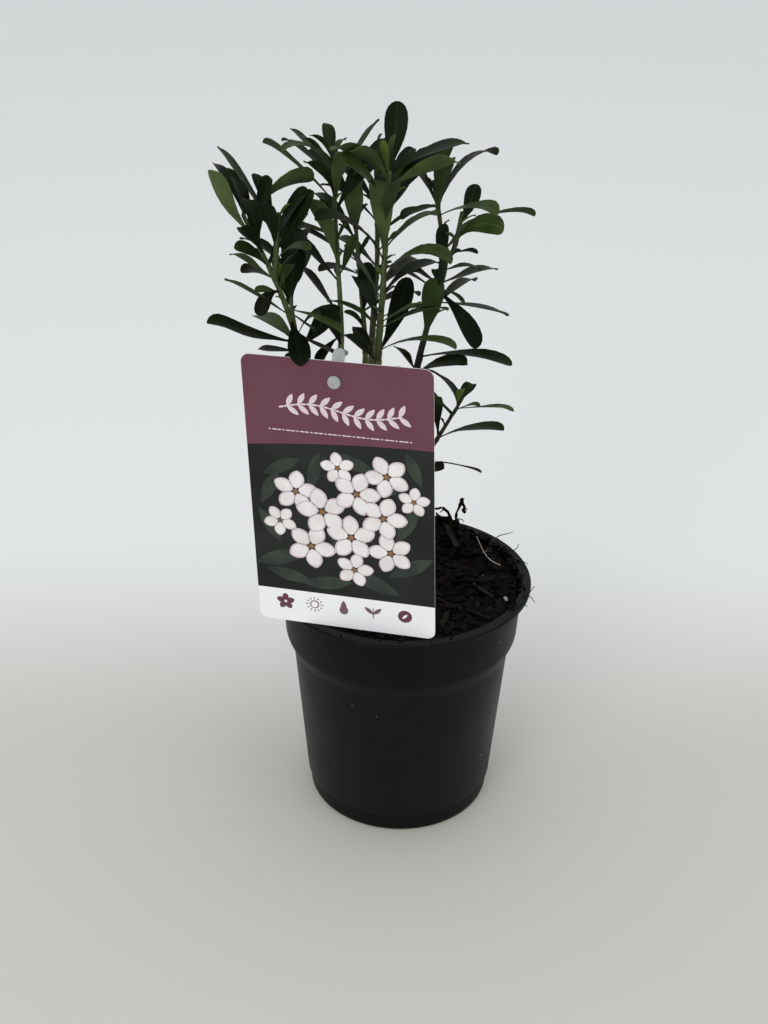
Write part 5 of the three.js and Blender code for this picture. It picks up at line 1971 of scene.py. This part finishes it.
@dataclass
class LabelCard:
    """A laminated plant label: a mauve header, a dusky picture and a white strip, with motifs."""

    size: tuple = (84, 0.5, 136)
    corner: float = 4
    centre: tuple = (-28.2, -52.5, 190.7)
    turns: tuple = (("Z", -14), ("X", 3.4), ("Y", -1.07))
    hole: tuple = (-0.8, 58.5, 2.1)
    header: tuple = (24.5, 5.3)  # height of its lower edge at the left, and its rise to the right
    strip_top: float = -50.4
    columns: int = 12
    ink: float = 0.05  # thickness of one layer of print

    @property
    def place(self) -> Matrix:
        """From the card's own frame, with its front towards -Y, to the plant's."""
        place = Matrix.Translation(self.centre)
        for axis, angle in self.turns:
            place = place @ rotation(axis, angle)
        return place

    def header_edge(self, x: float) -> float:
        """Height of the header's lower edge."""
        t = x / self.size[0] + 0.5
        return self.header[0] + self.header[1] * (1 - (1 - t) ** 2)

    def sheet(self) -> BMesh:
        """The card's outline, flat in XY, filled round its hole and cut where the print changes."""
        width, _, height = self.size
        bm = bmesh.new()
        bmesh.ops.create_grid(bm, x_segments=1, y_segments=1, size=0.5)
        bmesh.ops.scale(bm, vec=(width, height, 1), verts=bm.verts)
        bmesh.ops.bevel(bm, geom=bm.verts[:], offset=self.corner, affect="VERTICES", segments=8,
                        profile=0.5, material=-1)
        bmesh.ops.delete(bm, geom=bm.faces[:], context="FACES_ONLY")
        x, y, radius = self.hole
        outline = bm.edges[:]
        bmesh.ops.triangle_fill(
            bm, use_beauty=True, edges=outline + disc_cut(bm, (x, y, 0), radius, 32)
        )
        self.cut(bm, bm.faces[:], (0, self.strip_top, 0), (0, 1, 0))
        steps = [width * (k / self.columns - 0.5) for k in range(self.columns + 1)]
        for x in steps[1:-1]:
            self.cut(bm, bm.faces[:], (x, 0, 0), (1, 0, 0))
        for left, right in zip(steps, steps[1:]):
            column = [f for f in bm.faces if left < f.calc_center_median().x < right]
            a, b = self.header_edge(left), self.header_edge(right)
            self.cut(bm, column, (left, a, 0), (a - b, right - left, 0))
        bmesh.ops.recalc_face_normals(bm, faces=bm.faces)
        if bm.faces[0].normal.z < 0:
            bmesh.ops.reverse_faces(bm, faces=bm.faces)
        return bm

    @staticmethod
    def cut(bm: BMesh, faces: list, at: tuple, square: tuple) -> None:
        """Cuts some faces along a plane."""
        edges = {edge for face in faces for edge in face.edges}
        verts = {vert for face in faces for vert in face.verts}
        bmesh.ops.bisect_plane(bm, geom=[*faces, *edges, *verts], dist=WELD, plane_co=at,
                               plane_no=square)

    def board(self) -> BMesh:
        """The card as a solid in its own frame, with the print's areas on its faces."""
        bm = self.sheet()
        bmesh.ops.solidify(bm, geom=bm.faces[:], thickness=self.size[1])
        heights = [vert.co.z for vert in bm.verts]
        middle = (min(heights) + max(heights)) / 2
        bmesh.ops.translate(bm, vec=(0, 0, -middle), verts=bm.verts)
        bmesh.ops.recalc_face_normals(bm, faces=bm.faces)
        for face in bm.faces:
            at = face.calc_center_median()
            ink = Ink.CORE
            if abs(face.normal.z) > 0.5 and at.y > self.header_edge(at.x):
                ink = Ink.HEADER
            elif face.normal.z > 0.5:
                ink = Ink.PICTURE if at.y > self.strip_top else Ink.STRIP
            face.material_index = ink.value
        bmesh.ops.rotate(bm, cent=(0, 0, 0), matrix=Matrix.Rotation(math.pi / 2, 3, "X"),
                         verts=bm.verts)
        return bm

    def tile(
        self, bm: BMesh, ink: Ink, at: tuple, size: tuple, turn: float, layer: int,
        point: float = 0, sides: int = 20,
    ) -> None:
        """Lays a flat printed shape on the card's front.

        Args:
            bm: the card.
            ink: its ink.
            at: its middle, across and up.
            size: its length and width.
            turn: the heading of its length, in degrees from across.
            layer: how many layers of print it lies above the card.
            point: how far its two ends are drawn to a point, from 0 to 1.
            sides: how many sides its outline has.
        """
        front = -self.size[1] / 2 - self.ink * (layer - 0.5)
        made = bmesh.ops.create_cone(
            bm, cap_ends=True, segments=sides, radius1=0.5, radius2=0.5, depth=self.ink * 1.6
        )["verts"]
        for vert in made:
            vert.co.y *= (1 - abs(2 * vert.co.x) ** 2) ** (point / 2) if point else 1
        place = Matrix.Translation((at[0], front, at[1])) @ rotation("X", 90) @ rotation("Z", turn)
        bmesh.ops.transform(bm, matrix=place @ Matrix.Diagonal((*size, 1, 1)), verts=made)
        paint(made, ink.value)

    def blossom(self, bm: BMesh, at: tuple, size: float, turn: float, layer: int,
                petals: int = 5, inks: tuple = (Ink.PETAL, Ink.PETAL_SHADE, Ink.CENTRE)) -> None:
        """Prints an open blossom of rounded petals round a small centre."""
        for k in range(petals):
            angle = math.radians(turn + 360 * k / petals)
            way = polar(1, angle)
            for share, reach, wide, ink, up in (
                (0.3, 0.46, 0.36, inks[1], 0), (0.29, 0.4, 0.29, inks[0], 1 + k * 0.1),
            ):
                spot = tuple(c + w * size * share for c, w in zip(at, way))
                self.tile(bm, ink, spot, (size * reach, size * wide), math.degrees(angle),
                          layer + up, point=0.35)
        self.tile(bm, inks[2], at, (size * 0.12, size * 0.12), 0, layer + 2)

    def picture(self, bm: BMesh) -> None:
        """Prints a spray of blossoms with oval leaves, climbing over the dark panel."""
        leaves = (
            (-30, -33, 26, 18), (-26, -42, 22, -14), (-8, -44, 24, 8), (14, -41, 26, -24),
            (31, -31, 24, 30), (-33, 4, 20, 64), (-27, 15, 20, 28), (6, 20, 22, 160),
            (30, -8, 22, 62), (-2, -20, 24, 100), (33, 20, 18, 112), (-34, -16, 20, 120),
            (20, 8, 20, 18), (-12, 14, 20, 75),
        )
        for k, (x, y, length, turn) in enumerate(leaves):
            self.tile(bm, Ink.LEAF, (x, y), (length, length * 0.3), turn, 1 + k % 3 * 0.2, point=1)
        blossoms = (
            (-21, 3, 20, 10), (-29, -13, 15, 50), (-9, -6, 23, 30), (7, 5, 21, 0),
            (21, 15, 20, 44), (-15, -25, 22, 64), (4, -18, 22, 20), (19, -6, 21, 70),
            (22, -24, 20, 35), (5, -35, 17, 5), (-1, 17, 15, 25), (33, 4, 14, 12),
        )
        for k, (x, y, size, turn) in enumerate(blossoms):
            self.blossom(bm, (x, y), size, turn, 2 + k % 4 * 2)

    def sprig(self, bm: BMesh) -> None:
        """Prints a pale sprig along the header, over a thin line of small lozenges."""
        joints, left, right, height, wave = 22, -25, 27, 44.5, 2.2
        for k in range(joints):
            t = k / (joints - 1)
            x = mix(left, right, t)
            y = height + wave * math.sin(t * math.tau)
            slope = wave * math.cos(t * math.tau) * math.tau
            lean = math.degrees(math.atan2(slope, right - left))
            self.tile(bm, Ink.LEAF_PALE, (x, y), (2.9, 0.9), lean, 1)
            if k % 2:
                for side in (-1, 1):
                    angle = lean + side * 52
                    out, up = polar(3.2, math.radians(angle))
                    self.tile(bm, Ink.LEAF_PALE, (x + out, y + up), (6.6, 2.5), angle, 1.2,
                              point=1)
        for k in range(31):
            wide = 2.4 if k % 3 else 1.1
            self.tile(bm, Ink.LEAF_PALE, (-31 + k * 2.1, 33.2), (wide, 0.6), 0, 1, sides=8)

    def signs(self, bm: BMesh) -> None:
        """Prints small plain signs along the strip: blossom, sun, drop, sprig and disc."""
        line, mauve, white = Ink.LINE, Ink.HEADER, Ink.STRIP
        self.blossom(bm, (-29, -57.2), 8.4, 18, 1, inks=(mauve, mauve, white))
        sun = (-15, -57)
        self.tile(bm, line, sun, (4.4, 4.4), 0, 1)
        self.tile(bm, white, sun, (3.3, 3.3), 0, 2)
        for turn in range(0, 360, 30):
            out, up = polar(3.5, math.radians(turn))
            self.tile(bm, line, (sun[0] + out, sun[1] + up), (1.6, 0.5), turn, 1, sides=6)
        self.tile(bm, line, (-1, -58.2), (4.6, 4.2), 90, 1)
        self.tile(bm, line, (-1, -56), (6.2, 2.7), 90, 1.2, point=1)
        for side in (-1, 1):
            self.tile(bm, line, (13 + side * 2, -56.6), (5.4, 2), 90 - side * 48, 1, point=1)
        self.tile(bm, line, (13, -57.8), (6.6, 0.6), 90, 1, sides=8)
        disc = (28, -57.4)
        self.tile(bm, mauve, disc, (6.6, 6.6), 0, 1)
        self.tile(bm, white, disc, (3.6, 1.2), 45, 2, point=1)

    def build(self) -> None:
        """Makes the card with its print, in the plant's frame."""
        bm = self.board()
        self.picture(bm)
        self.sprig(bm)
        self.signs(bm)
        bmesh.ops.transform(bm, matrix=self.place, verts=bm.verts)
        piece("label_board", bm, Ink.finishes(), ["label_card"], smooth_faces=False)


@dataclass
class CardTie:
    """A moulded clear tie: a button in front of the card, a drop-shaped head, strap and ring."""

    card: LabelCard
    growth: Growth
    button: tuple = (3.1, 1.2)
    peg: float = 1.7
    plate: float = 1
    head: float = 5.7
    lean: float = 2.5
    waist: float = 0.35
    strap: float = 0.8
    strap_start: float = 1.3
    arch: float = 1.4
    ring_height: float = 250.5
    ring_steps: int = 32
    sides: int = 12
    rounding: float = 0.25
    finish: ClearFinish = ClearFinish("clear_tie", (180, 186, 182))

    def drum(self, bm: BMesh, radius: float, front: float, back: float) -> list:
        """Adds a round drum through the card's hole, from one depth to another."""
        x, z, _ = self.card.hole
        place = Matrix.Translation((x, (front + back) / 2, z)) @ rotation("X", 90)
        return bmesh.ops.create_cone(
            bm, cap_ends=True, segments=self.ring_steps, radius1=radius, radius2=radius,
            depth=back - front, matrix=place,
        )["verts"]

    def build(self) -> None:
        """Makes the tie in the plant's frame."""
        half = self.card.size[1] / 2
        front, back = -half - CLEARANCE, half + CLEARANCE
        radius, thick = self.button
        bm = bmesh.new()
        for vert in self.drum(bm, radius, front - thick, front):
            if vert.co.y < front - thick / 2:
                vert.co.x = mix(vert.co.x, self.card.hole[0], 0.12)
                vert.co.z = mix(vert.co.z, self.card.hole[1], 0.12)
        self.drum(bm, self.peg, front - thick / 2, back + self.plate / 2)
        self.add_head(bm, back)
        bmesh.ops.transform(bm, matrix=self.card.place, verts=bm.verts)
        self.add_strap(bm, back)
        made = piece("clear_tie", bm, [self.finish.build()], ["label_tie"])
        rounded(made, self.rounding)

    def add_head(self, bm: BMesh, back: float) -> None:
        """Adds the plate behind the card, drawn up to a rounded head that stands above it."""
        x, z, _ = self.card.hole
        top = self.card.size[2] / 2 + self.head
        made = self.drum(bm, self.button[0], back, back + self.plate)
        for vert in made:
            if vert.co.z > z:
                rise = (vert.co.z - z) / self.button[0]
                vert.co.z = mix(z, top, rise)
                fuller = sum(rise**k for k in (0, 2, 4, 6, 8)) ** 0.5
                waisted = 1 - self.waist * (1 - rise)
                vert.co.x = x + (vert.co.x - x) * fuller * waisted + self.lean * rise

    def add_strap(self, bm: BMesh, back: float) -> None:
        """Adds the strap, from the head to a ring round the bough, and the ring."""
        bough = self.growth.courses["centre_left"]
        at = bough.nearest(self.ring_height)
        middle = bough.points[at]
        reach = bough.radii[at] + CLEARANCE + self.strap
        high = self.card.size[2] / 2 + self.head - 1.6
        start = np.array(
            self.card.place @ Vector((self.card.hole[0] + self.lean, back + 0.5, high))
        )
        towards = (start - middle) * (1, 1, 0)
        end = middle + unit(towards) * reach
        arch = (start + end) / 2 + (0, 0, self.arch)
        radii = (self.strap * self.strap_start, self.strap)
        join(bm, limb(Course.through([start, arch, end], radii), self.sides, 0.8))
        loop = bmesh.new()
        bmesh.ops.create_circle(loop, segments=self.sides, radius=self.strap)
        bmesh.ops.rotate(loop, cent=(0, 0, 0), matrix=Matrix.Rotation(math.pi / 2, 3, "X"),
                         verts=loop.verts)
        bmesh.ops.translate(loop, vec=(reach, 0, 0), verts=loop.verts)
        spin(loop, self.ring_steps)
        lie = Vector(bough.along(at)).to_track_quat("Z", "Y").to_matrix().to_4x4()
        bmesh.ops.transform(loop, matrix=Matrix.Translation(middle) @ lie, verts=loop.verts)
        bmesh.ops.recalc_face_normals(loop, faces=loop.faces)
        join(bm, loop)


# ---------------------------------------------------------------- studio


@dataclass
class Studio:
    """A pale floor, soft lights and the camera."""

    near_floor: Colour = (203, 202, 194)
    far_floor: Colour = (234, 236, 235)
    pales: tuple = (0.0, 0.26)  # the floor pales between these Y, away from the eye
    reach: float = 6
    world: tuple = (0.96, 0.98, 1.0, 0.8)  # colour and strength
    position: tuple = (-0.0103, -0.6003, 0.4779)
    down: float = 26.5
    roll: float = -0.68
    lens: float = 49.345
    sensor: float = 36
    shift: tuple = (0.0015, -0.0376)
    aim: tuple = (0, 0, 0.18)  # where the lamps point
    lights: tuple = (  # name, place, size, watts
        ("overhead", (0.1, 0.1, 1.7), 1.6, 2.5),
        ("key", (-0.7, -1.4, 0.8), 1.0, 8),
        ("fill", (1.1, -0.9, 0.7), 1.1, 1.5),
    )

    def build_floor(self) -> None:
        """Makes the floor."""
        bm = bmesh.new()
        bmesh.ops.create_grid(bm, x_segments=1, y_segments=1, size=self.reach)
        made = add_object("floor", finished("floor", bm))
        it = Surface("pale_floor", self.far_floor, 0.7, Specular_IOR_Level=0.2)
        away = it.add("SeparateXYZ", {"Vector": it.position()}).outputs["Y"]
        low, high = self.pales
        pale = it.add("MapRange", {"Value": away, "From Min": low, "From Max": high},
                      interpolation_type="SMOOTHSTEP")
        it.drive("Base Color", it.blend(pale.outputs["Result"], self.near_floor, self.far_floor))
        made.data.materials.append(it.material)

    def build_lights(self) -> None:
        """Makes the sky's light and the soft lamps, aimed at the plant."""
        scene = bpy.context.scene
        scene.view_settings.view_transform = "Standard"
        world = bpy.data.worlds.new("sky")
        world.use_nodes = True
        sky = world.node_tree.nodes["Background"]
        sky.inputs["Color"].default_value = (*self.world[:3], 1)
        sky.inputs["Strength"].default_value = self.world[3]
        scene.world = world
        for name, place, size, watts in self.lights:
            lamp = bpy.data.lights.new(name, "AREA")
            lamp.shape, lamp.size, lamp.energy = "DISK", size, watts
            made = add_object(name, lamp)
            made.location = place
            back = Vector(place) - Vector(self.aim)
            made.rotation_euler = back.to_track_quat("Z", "Y").to_euler()

    def build_camera(self) -> None:
        """Makes the camera: level across but for its roll, and looking down on the plant."""
        lens = bpy.data.cameras.new("camera")
        lens.lens, lens.sensor_width, lens.sensor_fit = self.lens, self.sensor, "AUTO"
        lens.shift_x, lens.shift_y = self.shift
        made = add_object("camera", lens)
        tilt, turn = rotation("X", 90 - self.down), rotation("Z", -self.roll)
        made.matrix_world = Matrix.Translation(self.position) @ tilt @ turn
        bpy.context.scene.camera = made

    def build(self) -> None:
        """Makes the whole set."""
        self.build_floor()
        self.build_lights()
        self.build_camera()


def main() -> None:
    """Builds every sub-assembly."""
    logging.basicConfig(level=logging.INFO, format="%(message)s")
    card = LabelCard()
    growth = Growth()
    growth.grow(card.place, np.array(card.size))
    LOG.info("planned leaves: %d", len(growth.leaves))
    pot = NurseryPot()
    pot.build()
    Compost(pot).build()
    Bark(growth).build()
    Foliage(growth).build()
    card.build()
    CardTie(card, growth).build()
    Studio().build()


if __name__ == "__main__":
    main()
